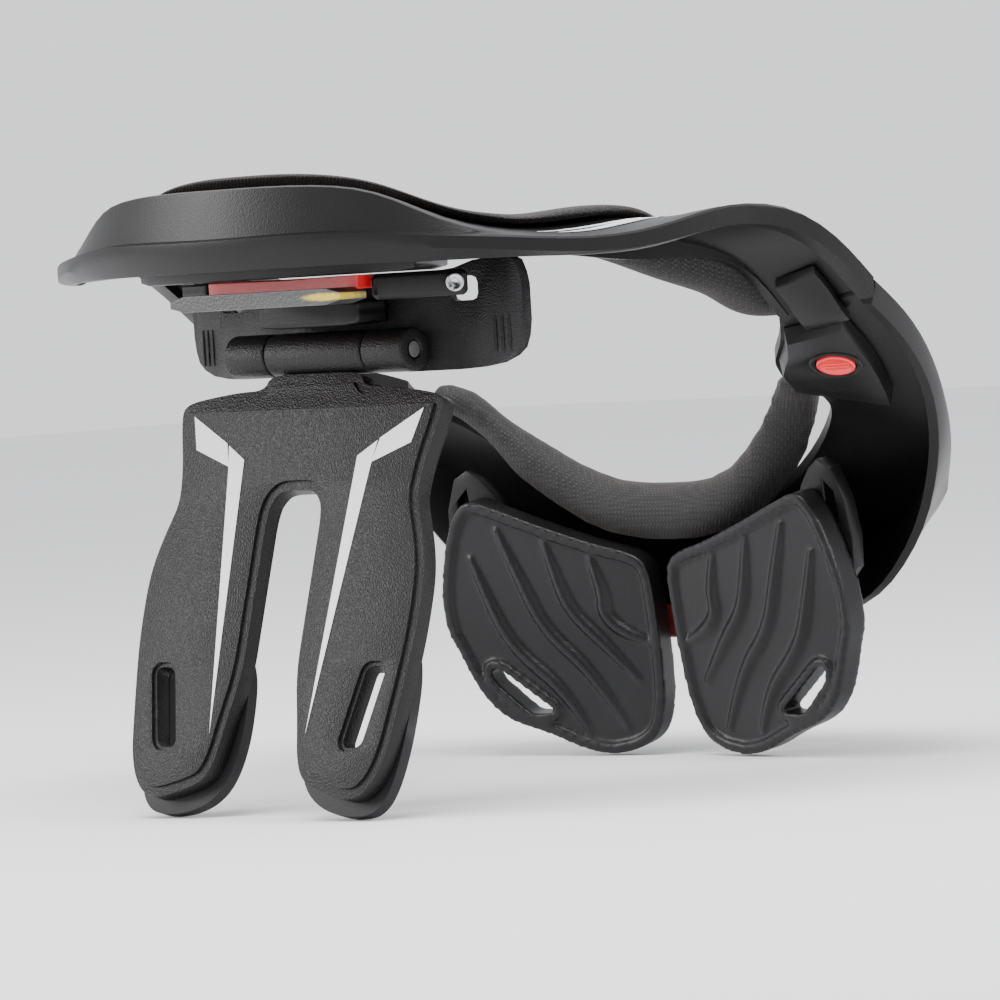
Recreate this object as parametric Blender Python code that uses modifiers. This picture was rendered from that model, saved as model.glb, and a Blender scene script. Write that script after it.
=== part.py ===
"""Motocross neck brace: a rigid ring round an open neck, a hinged two-legged back strut,
a front half that swings open, and two foam chest pads.

Metres, +Z up. The ring's centre is over the origin, the wearer faces +Y and has +X on the right.
The brace stands on the ends of its back strut and its chest pads, which touch z = 0.
"""
import math

import bmesh
import bpy
from mathutils import Matrix, Vector

# Ring: the outer contour seen from above is an ellipse
RING_HALF_WIDTH = 0.145
RING_HALF_DEPTH = 0.136
RING_HEIGHT = 0.172          # low point of the shoulder rim above the floor
BAND_WIDTH = 0.050           # from the outer contour in to the neck opening
SHELL = 0.0040               # wall of the moulded shells
RIM_EDGE = 0.0045            # height of the front rim's outer edge
SEAM_ANGLE = 95.0            # where the front half meets the rear half, in degrees from the rear
SEAM_GAP = 0.0006
GAP = 0.0003                 # between pieces that touch

# Rear neck pad
PAD_ROLL = 0.018             # how far the pad stands in from the shell's neck edge

# Front half
COLLAR_HALF_DEPTH = 0.011
HOUSING_DEPTH = 0.0060
HOUSING_START = 97.5         # degrees from the rear
HOUSING_END = 117.0
HOUSING_INSET = 0.016
HOUSING_WIDTH = 0.032
TONGUE_INSET = 0.013
TONGUE_WIDTH = 0.016
TONGUE_THICKNESS = 0.0030
BUTTON_RADIUS = 0.0062
BUTTON_THICKNESS = 0.0030
BUTTON_PROUD = 0.0008
BUTTON_CLEARANCE = 0.0004
BUTTON_ANGLE = 105.5
BUTTON_INSET = 0.0275
CHEST_PAD_WIDTH = 0.087
CHEST_PAD_RISE = 0.0066      # top of the pads above the collar's centre line
CHEST_PAD_THICKNESS = 0.0085
CHEST_PAD_INSET = 0.057      # front rim back to where the pads' planes cross the floor
CHEST_PAD_SWEEP = 0.14       # fall of the pads towards the back, per length outwards
CHEST_PAD_LEAN = 0.155       # fall of the pads towards the back, per length upwards
CARRIER_THICKNESS = 0.0050
CLIP_HALF_WIDTH = 0.015
CLIP_HEIGHT = 0.011
CLIP_DEPTH = 0.0026

# Back strut and its hinge
HINGE_DROP = 0.031           # hinge axis below the ring height
HINGE_INSET = 0.054          # hinge axis forward of the ring's rear rim
KNUCKLE_RADIUS = 0.0068
PIN_RADIUS = 0.0025
BORE_RADIUS = 0.0028
CENTRE_KNUCKLE_LENGTH = 0.041
SIDE_KNUCKLE_LENGTH = 0.017
HINGE_PLATE_HALF_WIDTH = 0.0705
HINGE_PLATE_HEIGHT = 0.034
HINGE_PLATE_THICKNESS = 0.0040
HINGE_PLATE_CURVE = 0.007    # how far its ends stand forward of its middle
STRUT_HALF_WIDTH = 0.059
STRUT_THICKNESS = 0.0055
STRUT_TILT = 17.9            # degrees, the feet behind the hinge
FOOT_PAD_THICKNESS = 0.0040
SLOT_HALF_WIDTH = 0.0115
STRAP_SLOT_WIDTH = 0.0080
STRAP_SLOT_LENGTH = 0.026
PAD_HOLE_WIDTH = 0.021       # hole of a foot pad round the strap slot

# Adjuster between the table and the strut hinge
BRACKET_THICKNESS = 0.0028
BRACKET_WALL = 0.0040        # its raised outer wall
BRACKET_RISE = 0.0090        # height of that wall above the bracket
BRACKET_INSET = 0.020
ADJUSTER_OFFSET = 0.0085     # middle of the clip and bar, to the wearer's right
CLIP_HALF_LENGTH = 0.0315
BAR_HALF_LENGTH = 0.0360
BAR_HEIGHT = 0.0050
BAR_DEPTH = 0.012
RED_CLIP_HEIGHT = 0.0042
RED_CLIP_DEPTH = 0.010
STOP_LENGTH = 0.0110         # block at the clip's left end
ARM_LENGTH = 0.0290
ARM_HEIGHT = 0.0080
ARM_DEPTH = 0.0050
ARM_TURN = 46.0              # degrees that the arm turns forward
WEDGE_HEIGHT = 0.0080
WEDGE_DEPTH = 0.014
WEDGE_HALF_WIDTH = 0.021
BRACKET_HALF_ANGLE = 28.0
SCREW_RADIUS = 0.0028

# Closure hinge on the left shoulder
CLOSURE_RADIUS = 0.0040
CLOSURE_PIN_RADIUS = 0.0016
CLOSURE_LENGTH = 0.0070

# Rear table, from the rear middle to the seam. Angles in degrees; heights are shares of
# RING_HEIGHT and insets are shares of BAND_WIDTH.
# angle, rim strip top, strip height, wall foot inset, wall top, wall top inset, lip bottom,
# neck edge inset, neck edge top, flange bottom
TABLE_ROWS = (
    (0.0, 1.032, 0.022, 0.090, 1.125, 0.130, 0.978, 1.00, 1.108, 0.978),
    (8.0, 1.034, 0.022, 0.090, 1.126, 0.130, 0.978, 1.00, 1.105, 0.978),
    (16.0, 1.035, 0.022, 0.090, 1.123, 0.130, 0.978, 1.00, 1.095, 0.978),
    (22.0, 1.033, 0.022, 0.085, 1.114, 0.125, 0.978, 1.00, 1.075, 0.978),
    (27.0, 1.026, 0.022, 0.080, 1.092, 0.120, 0.976, 1.00, 1.058, 0.978),
    (33.0, 1.018, 0.022, 0.065, 1.048, 0.105, 0.974, 1.00, 1.043, 0.981),
    (39.0, 1.012, 0.022, 0.045, 1.022, 0.085, 0.974, 1.00, 1.034, 0.981),
    (45.0, 1.003, 0.022, 0.030, 1.007, 0.070, 0.972, 1.00, 1.030, 0.980),
    (52.0, 0.995, 0.022, 0.025, 0.999, 0.065, 0.968, 0.98, 1.038, 0.972),
    (58.0, 1.001, 0.026, 0.025, 1.006, 0.065, 0.970, 0.94, 1.041, 0.962),
    (63.0, 1.015, 0.028, 0.025, 1.020, 0.065, 0.982, 0.90, 1.032, 0.955),
    (68.0, 1.034, 0.030, 0.025, 1.039, 0.065, 1.000, 0.86, 1.018, 0.953),
    (73.0, 1.040, 0.032, 0.025, 1.045, 0.065, 1.005, 0.83, 1.004, 0.953),
    (79.0, 1.032, 0.034, 0.025, 1.037, 0.065, 0.995, 0.79, 0.988, 0.950),
    (85.0, 0.998, 0.036, 0.025, 1.003, 0.065, 0.960, 0.76, 0.960, 0.930),
    (90.0, 0.950, 0.036, 0.025, 0.955, 0.065, 0.912, 0.74, 0.912, 0.885),
    (SEAM_ANGLE, 0.898, 0.036, 0.025, 0.903, 0.065, 0.860, 0.73, 0.862, 0.836),
)

# Rear neck pad. Same shares. angle, outer edge inset, top, inner edge top, bottom
NECK_PAD_ROWS = (
    (0.0, 0.36, 1.147, 1.112, 0.992),
    (8.0, 0.36, 1.147, 1.110, 0.992),
    (16.0, 0.37, 1.138, 1.098, 0.992),
    (22.0, 0.38, 1.122, 1.080, 0.990),
    (27.0, 0.40, 1.096, 1.064, 0.988),
    (33.0, 0.44, 1.064, 1.052, 0.986),
    (39.0, 0.48, 1.050, 1.046, 0.984),
    (45.0, 0.52, 1.046, 1.044, 0.982),
    (52.0, 0.56, 1.056, 1.052, 0.974),
    (58.0, 0.60, 1.058, 1.055, 0.962),
    (63.0, 0.68, 1.055, 1.050, 0.945),
    (68.0, 0.78, 1.040, 1.036, 0.926),
    (73.0, 0.83, 1.018, 1.018, 0.908),
    (79.0, 0.79, 0.984, 0.984, 0.890),
    (85.0, 0.76, 0.966, 0.966, 0.872),
    (90.0, 0.74, 0.957, 0.957, 0.846),
    (SEAM_ANGLE, 0.73, 0.951, 0.951, 0.834),
    (100.0, 0.74, 0.935, 0.935, 0.835),
    (104.5, 0.77, 0.915, 0.915, 0.836),
    (108.5, 0.84, 0.895, 0.895, 0.852),
)

# Front chassis, from the seam to the front middle. Same shares.
# angle, rim top, neck edge inset, neck edge top, bib foot inset, bib foot
CHASSIS_ROWS = (
    (SEAM_ANGLE, 0.898, 0.73, 0.862, 0.10, 0.850),
    (100.0, 0.860, 0.82, 0.817, 0.10, 0.812),
    (105.0, 0.820, 0.94, 0.791, 0.10, 0.772),
    (110.0, 0.773, 1.02, 0.773, 0.10, 0.725),
    (115.0, 0.721, 1.04, 0.762, 0.10, 0.672),
    (120.0, 0.663, 1.04, 0.747, 0.12, 0.605),
    (123.0, 0.632, 0.88, 0.724, 0.15, 0.545),
    (127.0, 0.597, 0.78, 0.700, 0.22, 0.460),
    (131.0, 0.560, 0.735, 0.680, 0.32, 0.390),
    (136.0, 0.517, 0.73, 0.650, 0.46, 0.320),
    (142.0, 0.475, 0.76, 0.602, 0.58, 0.280),
    (150.0, 0.440, 0.80, 0.550, 0.75, 0.252),
    (158.0, 0.420, 0.84, 0.508, 0.88, 0.238),
    (166.0, 0.407, 0.88, 0.482, 0.94, 0.229),
    (173.0, 0.401, 0.90, 0.472, 0.95, 0.225),
    (180.0, 0.399, 0.90, 0.470, 0.95, 0.224),
)

# Front collar roll. angle, centre inset, centre height, half height, half depth,
# the last as a share of COLLAR_HALF_DEPTH
COLLAR_ROWS = (
    (124.5, 0.96, 0.712, 0.018, 0.40),
    (127.0, 0.95, 0.709, 0.034, 0.70),
    (131.0, 0.94, 0.700, 0.044, 0.90),
    (136.0, 0.95, 0.668, 0.054, 0.95),
    (142.0, 1.00, 0.603, 0.064, 1.00),
    (150.0, 1.04, 0.550, 0.068, 1.00),
    (158.0, 1.08, 0.505, 0.068, 1.00),
    (166.0, 1.12, 0.480, 0.067, 1.00),
    (173.0, 1.14, 0.472, 0.067, 1.00),
    (180.0, 1.14, 0.470, 0.067, 1.00),
)

# Chest pad outline seen from behind, right pad: shares of its width and height,
# from the middle line outwards and from the floor up
CHEST_PAD_OUTLINE = (
    (0.816, 1.000), (0.682, 0.955), (0.483, 0.882), (0.264, 0.811), (0.138, 0.783),
    (0.062, 0.748), (0.038, 0.674), (0.042, 0.438), (0.053, 0.291), (0.064, 0.206),
    (0.106, 0.088), (0.184, 0.030), (0.328, 0.000), (0.460, 0.026), (0.592, 0.084),
    (0.778, 0.139), (0.866, 0.217), (0.920, 0.314), (0.960, 0.416), (0.996, 0.486),
    (1.000, 0.611), (0.972, 0.731), (0.932, 0.851), (0.884, 0.943),
)
CHEST_PAD_HOLE = (
    (0.575, 0.166), (0.678, 0.166), (0.822, 0.291), (0.834, 0.343), (0.788, 0.343),
    (0.563, 0.177),
)

# Pad carrier outline and the slot in its loop, same shares
CARRIER_OUTLINE = (
    (0.230, 0.411), (0.667, 0.389), (0.805, 0.549), (0.966, 0.686), (0.985, 0.800),
    (0.970, 0.940), (0.920, 1.060), (0.855, 1.095), (0.800, 1.060), (0.750, 1.000),
    (0.700, 0.900), (0.580, 0.790), (0.253, 0.709), (0.207, 0.571),
)
CARRIER_SLOT = ((0.860, 0.870), (0.925, 0.850), (0.915, 0.980), (0.870, 1.020))

# Strut outline, right half below its knuckle: share of STRUT_HALF_WIDTH, share of the length down
STRUT_OUTLINE = (
    (0.360, 0.082), (0.560, 0.084), (0.860, 0.100),
    (0.930, 0.112), (0.945, 0.130), (0.920, 0.180), (0.885, 0.235), (0.865, 0.290),
    (0.865, 0.330), (0.920, 0.385), (0.960, 0.430), (0.990, 0.480), (1.000, 0.540),
    (0.995, 0.640), (0.965, 0.740), (0.945, 0.800), (0.920, 0.870), (0.870, 0.925),
    (0.790, 0.962), (0.700, 0.972), (0.600, 0.966), (0.420, 0.946), (0.340, 0.925),
    (0.290, 0.880), (0.262, 0.820),
)
FOOT_PAD_OUTLINE = (
    (0.900, 0.640), (0.945, 0.700), (0.950, 0.780), (0.940, 0.860), (0.905, 0.935),
    (0.850, 0.978), (0.760, 1.000), (0.560, 1.000), (0.380, 0.975), (0.270, 0.930),
    (0.215, 0.850), (0.215, 0.760), (0.240, 0.690), (0.320, 0.640),
)

# Hinge plate: share of its half width, top and bottom as shares of its height
HINGE_PLATE_ROWS = (
    (0.00, 0.905, 0.03), (0.20, 0.905, 0.02), (0.40, 0.905, 0.00), (0.58, 0.905, 0.00),
    (0.66, 0.92, 0.00), (0.76, 0.98, 0.01), (0.86, 1.00, 0.04), (0.93, 1.00, 0.10),
    (0.97, 0.96, 0.17), (0.99, 0.85, 0.28), (1.00, 0.74, 0.42),
)
PLATE_WINDOW = (0.62, 0.78, 0.62, 0.84)

HINGE_HEIGHT = RING_HEIGHT - HINGE_DROP
HINGE_BACK = RING_HALF_DEPTH - HINGE_INSET
CHEST_PAD_FORWARD = RING_HALF_DEPTH - CHEST_PAD_INSET
CHEST_PAD_HEIGHT = COLLAR_ROWS[-1][2] * RING_HEIGHT + CHEST_PAD_RISE
FOOT_REACH = (STRUT_THICKNESS / 2 + GAP + FOOT_PAD_THICKNESS) * math.sin(math.radians(STRUT_TILT))
STRUT_LENGTH = (HINGE_HEIGHT - FOOT_REACH) / math.cos(math.radians(STRUT_TILT))
COLLECTION = "motocross_neck_brace"

# The pieces that turn about the strut's hinge and about the closure hinge
STRUT_PIECES = ("strut_plate", "strut_knuckle", "strut_pad_left", "strut_pad_right")
FRONT_PIECES = (
    "front_chassis", "front_collar_pad", "chest_pad_left", "chest_pad_right",
    "pad_carrier_left", "pad_carrier_right", "front_clip", "closure_housing_left",
    "closure_housing_right", "front_closure_knuckle", "button_left", "button_right",
)


def start():
    """Empty the scene and make the two collections."""
    for obj in list(bpy.data.objects):
        bpy.data.objects.remove(obj, do_unlink=True)
    for name in (COLLECTION, "cutters"):
        group = bpy.data.collections.get(name) or bpy.data.collections.new(name)
        if group.name not in bpy.context.scene.collection.children:
            bpy.context.scene.collection.children.link(group)


def material(name, colour, roughness, metallic=0.0):
    """A plain Principled material."""
    mat = bpy.data.materials.get(name) or bpy.data.materials.new(name)
    mat.use_nodes = True
    shader = mat.node_tree.nodes["Principled BSDF"]
    shader.inputs["Base Color"].default_value = (*colour, 1.0)
    shader.inputs["Roughness"].default_value = roughness
    shader.inputs["Metallic"].default_value = metallic
    return mat


def add_object(name, mesh, mat, matrix=Matrix.Identity(4), collection=COLLECTION):
    """Place a mesh as an object of a collection."""
    obj = bpy.data.objects.new(name, mesh)
    obj.matrix_world = matrix
    bpy.data.collections[collection].objects.link(obj)
    if mat:
        mesh.materials.append(mat)
    return obj


def mesh_from(bm, name):
    """Finish a bmesh as a mesh with its faces pointing out."""
    bmesh.ops.recalc_face_normals(bm, faces=bm.faces)
    mesh = bpy.data.meshes.new(name)
    bm.to_mesh(mesh)
    bm.free()
    return mesh


def loft(name, sections, mat, mirrored=True):
    """Skin a row of closed sections. The first one of a mirrored piece lies on x = 0."""
    bm = bmesh.new()
    rings = [[bm.verts.new(p) for p in section] for section in sections]
    for ring, after in zip(rings, rings[1:]):
        for i in range(len(ring)):
            j = (i + 1) % len(ring)
            bm.faces.new((ring[i], ring[j], after[j], after[i]))
    first = bm.faces.new(rings[0])
    bm.faces.new(list(reversed(rings[-1])))
    bmesh.ops.recalc_face_normals(bm, faces=bm.faces)
    if mirrored:
        for vert in rings[0]:
            vert.co.x = 0.0
        bmesh.ops.delete(bm, geom=[first], context="FACES_ONLY")
    mesh = bpy.data.meshes.new(name)
    bm.to_mesh(mesh)
    bm.free()
    obj = add_object(name, mesh, mat)
    if mirrored:
        mirror = obj.modifiers.new("Mirror", "MIRROR")
        mirror.merge_threshold = 0.00005
    return obj


def ring_point(angle, inset, height):
    """A point beside the outer contour: inset from it, at a height."""
    turn = math.radians(angle)
    x = (RING_HALF_WIDTH - inset) * math.sin(turn)
    y = -(RING_HALF_DEPTH - inset) * math.cos(turn)
    return Vector((x, y, height))


def interpolate(rows, angle):
    """The row of a table at any angle."""
    if angle <= rows[0][0]:
        return rows[0]
    for low, high in zip(rows, rows[1:]):
        if angle <= high[0]:
            share = (angle - low[0]) / (high[0] - low[0])
            return tuple(a + (b - a) * share for a, b in zip(low, high))
    return rows[-1]


def table_deck(row, inset):
    """Height of the rear table's top face at an inset, between its wall and neck edge."""
    wall_in = (row[5] + 0.05) * BAND_WIDTH
    edge_in = row[7] * BAND_WIDTH
    share = (inset - wall_in) / (edge_in - wall_in)
    return (row[4] + (row[8] - row[4]) * share) * RING_HEIGHT


def table_section(row, angle):
    """Closed section of the rear table: strip, wall, deck, neck flange, open underneath."""
    _, strip, strip_h, foot_in, wall, wall_in, lip, edge_in, edge, flange = row
    rise = RING_HEIGHT
    band = BAND_WIDTH
    neck = edge_in * band
    crest = (wall_in + 0.05) * band
    middle = 0.36 * band
    shape = (
        (0.0, strip * rise),
        (foot_in * band, (strip + 0.004) * rise),
        (wall_in * band, (wall - 0.004) * rise),
        (crest, wall * rise),
        (middle, table_deck(row, middle)),
        (neck, edge * rise),
        (neck, flange * rise),
        (neck - SHELL, flange * rise),
        (neck - SHELL, edge * rise - SHELL),
        (middle, table_deck(row, middle) - SHELL),
        (crest + SHELL, table_deck(row, crest + SHELL) - SHELL),
        (max(foot_in * band, 0.002) + SHELL, strip * rise - 0.8 * SHELL),
        (max(foot_in * band, 0.002) + SHELL, lip * rise),
        (0.06 * band, lip * rise),
        (0.0, (strip - strip_h) * rise),
    )
    return [ring_point(angle, inset, height) for inset, height in shape]


def make_rear_table(mat):
    """The table from the rear middle to the seam, mirrored."""
    sections = []
    for row in TABLE_ROWS:
        angle = row[0] - (math.degrees(SEAM_GAP / RING_HALF_WIDTH) if row is TABLE_ROWS[-1] else 0)
        sections.append(table_section(row, angle))
    return loft("rear_table", sections, mat)


def neck_pad_section(row):
    """Closed section of the rear pad: over the deck, down the neck flange, and rounded."""
    angle, outer_in, top, inner_top, bottom = row
    table = interpolate(TABLE_ROWS, angle)
    band = BAND_WIDTH
    rise = RING_HEIGHT
    neck = table[7] * band + GAP * 3
    outer = outer_in * band + GAP * 3
    inner = neck + PAD_ROLL
    top_z = top * rise
    inner_z = inner_top * rise
    foot_z = bottom * rise
    over = outer < neck - 0.001 and angle < SEAM_ANGLE
    if over:
        ledge_outer = table_deck(table, outer) + 4 * GAP
        ledge_neck = table[8] * rise + 4 * GAP
    else:
        outer = neck if angle < SEAM_ANGLE else outer
        neck = outer
        inner = neck + PAD_ROLL * (1.0 if angle < 100.0 else 0.85)
        ledge_outer = top_z - 0.2 * (top_z - foot_z)
        if top_z > table[8] * rise:
            ledge_outer = max(ledge_outer, table[8] * rise + 2 * GAP)
        ledge_neck = ledge_outer - 0.0005
    edge = min(0.0022, 0.6 * (top_z - ledge_outer)) if over else 0.004
    shape = (
        (outer, ledge_outer),
        (outer + 0.6 * edge, top_z - 0.3 * edge),
        (outer + 2.0 * edge, top_z),
        (inner - 0.30 * PAD_ROLL, inner_z),
        (inner - 0.08 * PAD_ROLL, inner_z - 0.004),
        (inner, inner_z - 0.35 * (inner_z - foot_z)),
        (inner, foot_z + 0.30 * (inner_z - foot_z)),
        (inner - 0.20 * PAD_ROLL, foot_z + 0.002),
        (inner - 0.50 * PAD_ROLL, foot_z),
        (neck + 0.10 * PAD_ROLL, foot_z + 0.001),
        (neck, foot_z + 0.004),
        (neck, ledge_neck),
    )
    return [ring_point(angle, inset, height) for inset, height in shape]


def make_neck_pad(mat):
    """The C-shaped pad, mirrored."""
    return loft("rear_neck_pad", [neck_pad_section(row) for row in NECK_PAD_ROWS], mat)


def chassis_deck(row, inset):
    """Height of the front band's top face at an inset."""
    share = inset / (row[2] * BAND_WIDTH)
    return (row[1] + (row[3] - row[1]) * share) * RING_HEIGHT


def chassis_section(row, angle):
    """Closed section of the front half: rim, band to the neck, and the bib below the rim."""
    _, rim, neck_in, neck, foot_in, foot = row
    band = BAND_WIDTH
    rise = RING_HEIGHT
    inner = neck_in * band
    corner = 0.13 * band
    shape = (
        (0.0, rim * rise - 0.001),
        (0.03 * band, rim * rise),
        (0.45 * inner, chassis_deck(row, 0.45 * inner)),
        (inner, neck * rise),
        (inner, neck * rise - SHELL),
        (0.45 * inner, chassis_deck(row, 0.45 * inner) - SHELL),
        (corner, chassis_deck(row, corner) - SHELL),
        (foot_in * band, foot * rise),
        (foot_in * band - 0.8 * SHELL, foot * rise),
        (0.0, rim * rise - RIM_EDGE),
    )
    return [ring_point(angle, inset, height) for inset, height in shape]


def make_front_chassis(mat):
    """The front half from its middle to the seam, mirrored."""
    sections = [chassis_section(row, row[0]) for row in reversed(CHASSIS_ROWS)]
    return loft("front_chassis", sections, mat)


def make_collar_pad(mat):
    """The padded roll along the front of the neck opening."""
    sections = []
    for angle, inset, height, half_height, half_depth in reversed(COLLAR_ROWS):
        section = []
        for step in range(14):
            turn = 2.0 * math.pi * step / 14
            across = inset * BAND_WIDTH + half_depth * COLLAR_HALF_DEPTH * math.cos(turn)
            up = (height + half_height * math.sin(turn)) * RING_HEIGHT
            section.append(ring_point(angle, across, up))
        sections.append(section)
    return loft("front_collar_pad", sections, mat)


def slab(name, outlines, thickness, mat, matrix, bevel=0.0, collection=COLLECTION):
    """A flat outline with holes, thickness deep, as a welded mesh."""
    curve = bpy.data.curves.new(name + "_outline", "CURVE")
    curve.dimensions = "2D"
    curve.fill_mode = "BOTH"
    curve.extrude = thickness / 2
    for outline in outlines:
        spline = curve.splines.new("POLY")
        spline.points.add(len(outline) - 1)
        for point, (x, y) in zip(spline.points, outline):
            point.co = (x, y, 0.0, 1.0)
        spline.use_cyclic_u = True
    guide = bpy.data.objects.new(name + "_guide", curve)
    bpy.context.scene.collection.objects.link(guide)
    depsgraph = bpy.context.evaluated_depsgraph_get()
    mesh = bpy.data.meshes.new_from_object(guide.evaluated_get(depsgraph))
    bpy.data.objects.remove(guide, do_unlink=True)
    bm = bmesh.new()
    bm.from_mesh(mesh)
    bmesh.ops.remove_doubles(bm, verts=bm.verts, dist=0.00001)
    bpy.data.meshes.remove(mesh)
    obj = add_object(name, mesh_from(bm, name), mat, matrix, collection)
    if bevel:
        rounding = obj.modifiers.new("Bevel", "BEVEL")
        rounding.width = bevel
        rounding.segments = 2
        rounding.limit_method = "ANGLE"
        rounding.angle_limit = math.radians(50)
    return obj


def mirrored_copy(obj, name, mat):
    """The other hand of a piece, as a mesh of its own."""
    depsgraph = bpy.context.evaluated_depsgraph_get()
    mesh = bpy.data.meshes.new_from_object(obj.evaluated_get(depsgraph))
    bm = bmesh.new()
    bm.from_mesh(mesh)
    bm.transform(Matrix.Diagonal((-1, 1, 1, 1)) @ obj.matrix_world)
    bmesh.ops.reverse_faces(bm, faces=bm.faces)
    bpy.data.meshes.remove(mesh)
    return add_object(name, mesh_from(bm, name), mat)


def tube(name, outer, inner, length, mat, matrix, steps=32):
    """A turned tube along its own Z axis."""
    mesh = bpy.data.meshes.new(name)
    half = length / 2
    if inner > 0:
        profile = [(outer, 0, half), (outer, 0, -half), (inner, 0, -half), (inner, 0, half)]
        edges = [(0, 1), (1, 2), (2, 3), (3, 0)]
    else:
        profile = [(0, 0, half), (outer, 0, half), (outer, 0, -half), (0, 0, -half)]
        edges = [(0, 1), (1, 2), (2, 3)]
    mesh.from_pydata(profile, edges, [])
    obj = add_object(name, mesh, mat, matrix)
    screw = obj.modifiers.new("Screw", "SCREW")
    screw.steps = steps
    screw.render_steps = steps
    screw.use_merge_vertices = True
    screw.merge_threshold = 0.00001
    return obj


def box(name, size, centre, mat, matrix=Matrix.Identity(4), bevel=0.0, collection=COLLECTION):
    """A box with rounded edges."""
    bm = bmesh.new()
    bmesh.ops.create_cube(bm, size=1.0)
    bmesh.ops.scale(bm, vec=size, verts=bm.verts)
    obj = add_object(name, mesh_from(bm, name), mat, matrix @ Matrix.Translation(centre), collection)
    if bevel:
        rounding = obj.modifiers.new("Bevel", "BEVEL")
        rounding.width = bevel
        rounding.segments = 2
    return obj


def cut(obj, cutter):
    """Cut a piece with a cutter, which stays as a guide."""
    cutter.hide_render = True
    cutter.display_type = "WIRE"
    boolean = obj.modifiers.new("Cut", "BOOLEAN")
    boolean.operation = "DIFFERENCE"
    boolean.object = cutter


def strut_matrix(side_offset=0.0):
    """Local frame of the strut: x to the right, y up along it, z out of its rear face."""
    tilt = math.radians(STRUT_TILT)
    up = Vector((0.0, math.sin(tilt), math.cos(tilt)))
    rear = Vector((0.0, -math.cos(tilt), math.sin(tilt)))
    right = Vector((1.0, 0.0, 0.0))
    frame = Matrix((right, up, rear)).transposed().to_4x4()
    origin = Vector((0.0, -HINGE_BACK, HINGE_HEIGHT)) + rear * side_offset
    return Matrix.Translation(origin) @ frame


def strut_shape(rows):
    """Right half of a strut outline in its own frame."""
    return [(x * STRUT_HALF_WIDTH, -s * STRUT_LENGTH) for x, s in rows]


def strap_hole(side, width):
    """A leaning slot in one leg, widened towards the middle of the strut."""
    outer = 0.715 * STRUT_HALF_WIDTH + STRAP_SLOT_WIDTH / 2
    lean = side * math.radians(13)
    hole = []
    for inwards, dy in ((width, -1), (0.0, -1), (0.0, 1), (width, 1)):
        x = side * (outer - inwards)
        y = dy * STRAP_SLOT_LENGTH / 2
        hole.append((x + y * math.sin(lean), y * math.cos(lean) - 0.775 * STRUT_LENGTH))
    return hole


def make_strut(plastic, rubber):
    """The two-legged plate with its slots, the knuckle on it and the rubber foot pads."""
    neck = (KNUCKLE_RADIUS + GAP) / STRUT_LENGTH
    right = strut_shape(((0.0, neck), (0.33, neck)) + STRUT_OUTLINE)
    slot_top = 0.305 * STRUT_LENGTH
    slot = [
        (SLOT_HALF_WIDTH, -0.70 * STRUT_LENGTH),
        (SLOT_HALF_WIDTH, -slot_top - 0.006),
        (0.75 * SLOT_HALF_WIDTH, -slot_top - 0.0015),
        (0.45 * SLOT_HALF_WIDTH, -slot_top),
    ]
    half = right + slot
    outline = half + [(-x, y) for x, y in reversed(half) if x > 0]
    holes = [strap_hole(side, STRAP_SLOT_WIDTH) for side in (-1, 1)]
    slab("strut_plate", [outline] + holes, STRUT_THICKNESS, plastic, strut_matrix(), 0.0012)
    drop = (STRUT_THICKNESS + FOOT_PAD_THICKNESS) / 2 + GAP
    pad = slab(
        "strut_pad_right", [strut_shape(FOOT_PAD_OUTLINE), strap_hole(1, PAD_HOLE_WIDTH)],
        FOOT_PAD_THICKNESS, rubber, strut_matrix(-drop), 0.0010,
    )
    mirrored_copy(pad, "strut_pad_left", rubber)


def across(x, y, z):
    """Frame with its own Z along world X, at a point."""
    return Matrix.Translation((x, y, z)) @ Matrix.Rotation(math.radians(90), 4, "Y")


def make_hinge(plastic, steel):
    """Hinge plate under the table, the three knuckles and the pin through them."""
    y = -HINGE_BACK
    z = HINGE_HEIGHT
    tube("strut_knuckle", KNUCKLE_RADIUS, BORE_RADIUS, CENTRE_KNUCKLE_LENGTH, plastic, across(0, y, z))
    offset = (CENTRE_KNUCKLE_LENGTH + SIDE_KNUCKLE_LENGTH) / 2 + GAP
    for side, label in ((-1, "left"), (1, "right")):
        tube(
            "hinge_knuckle_" + label, KNUCKLE_RADIUS, BORE_RADIUS, SIDE_KNUCKLE_LENGTH,
            plastic, across(side * offset, y, z),
        )
    pin_length = CENTRE_KNUCKLE_LENGTH + 2 * SIDE_KNUCKLE_LENGTH
    tube("hinge_pin", PIN_RADIUS, 0.0, pin_length, steel, across(0, y, z), 24)
    top = TABLE_ROWS[0][6] * RING_HEIGHT - GAP
    bottom = top - HINGE_PLATE_HEIGHT
    rear_face = -HINGE_BACK + KNUCKLE_RADIUS + GAP
    sections = []
    for share, high, low in HINGE_PLATE_ROWS:
        x = share * HINGE_PLATE_HALF_WIDTH
        y0 = rear_face + HINGE_PLATE_CURVE * share ** 2
        y1 = y0 + HINGE_PLATE_THICKNESS
        low_z = bottom + low * HINGE_PLATE_HEIGHT
        high_z = bottom + high * HINGE_PLATE_HEIGHT
        sections.append([
            Vector((x, y0, low_z)), Vector((x, y0, high_z)),
            Vector((x, y1, high_z)), Vector((x, y1, low_z)),
        ])
    plate = loft("hinge_plate", sections, plastic)
    for side, label in ((-1, "left"), (1, "right")):
        x0, x1, s0, s1 = PLATE_WINDOW
        size = (
            (x1 - x0) * HINGE_PLATE_HALF_WIDTH, 0.03, (s1 - s0) * HINGE_PLATE_HEIGHT,
        )
        centre = (
            side * (x0 + x1) / 2 * HINGE_PLATE_HALF_WIDTH, rear_face,
            bottom + (s0 + s1) / 2 * HINGE_PLATE_HEIGHT,
        )
        cut(plate, box("window_" + label, size, centre, None, bevel=0.002, collection="cutters"))


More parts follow.
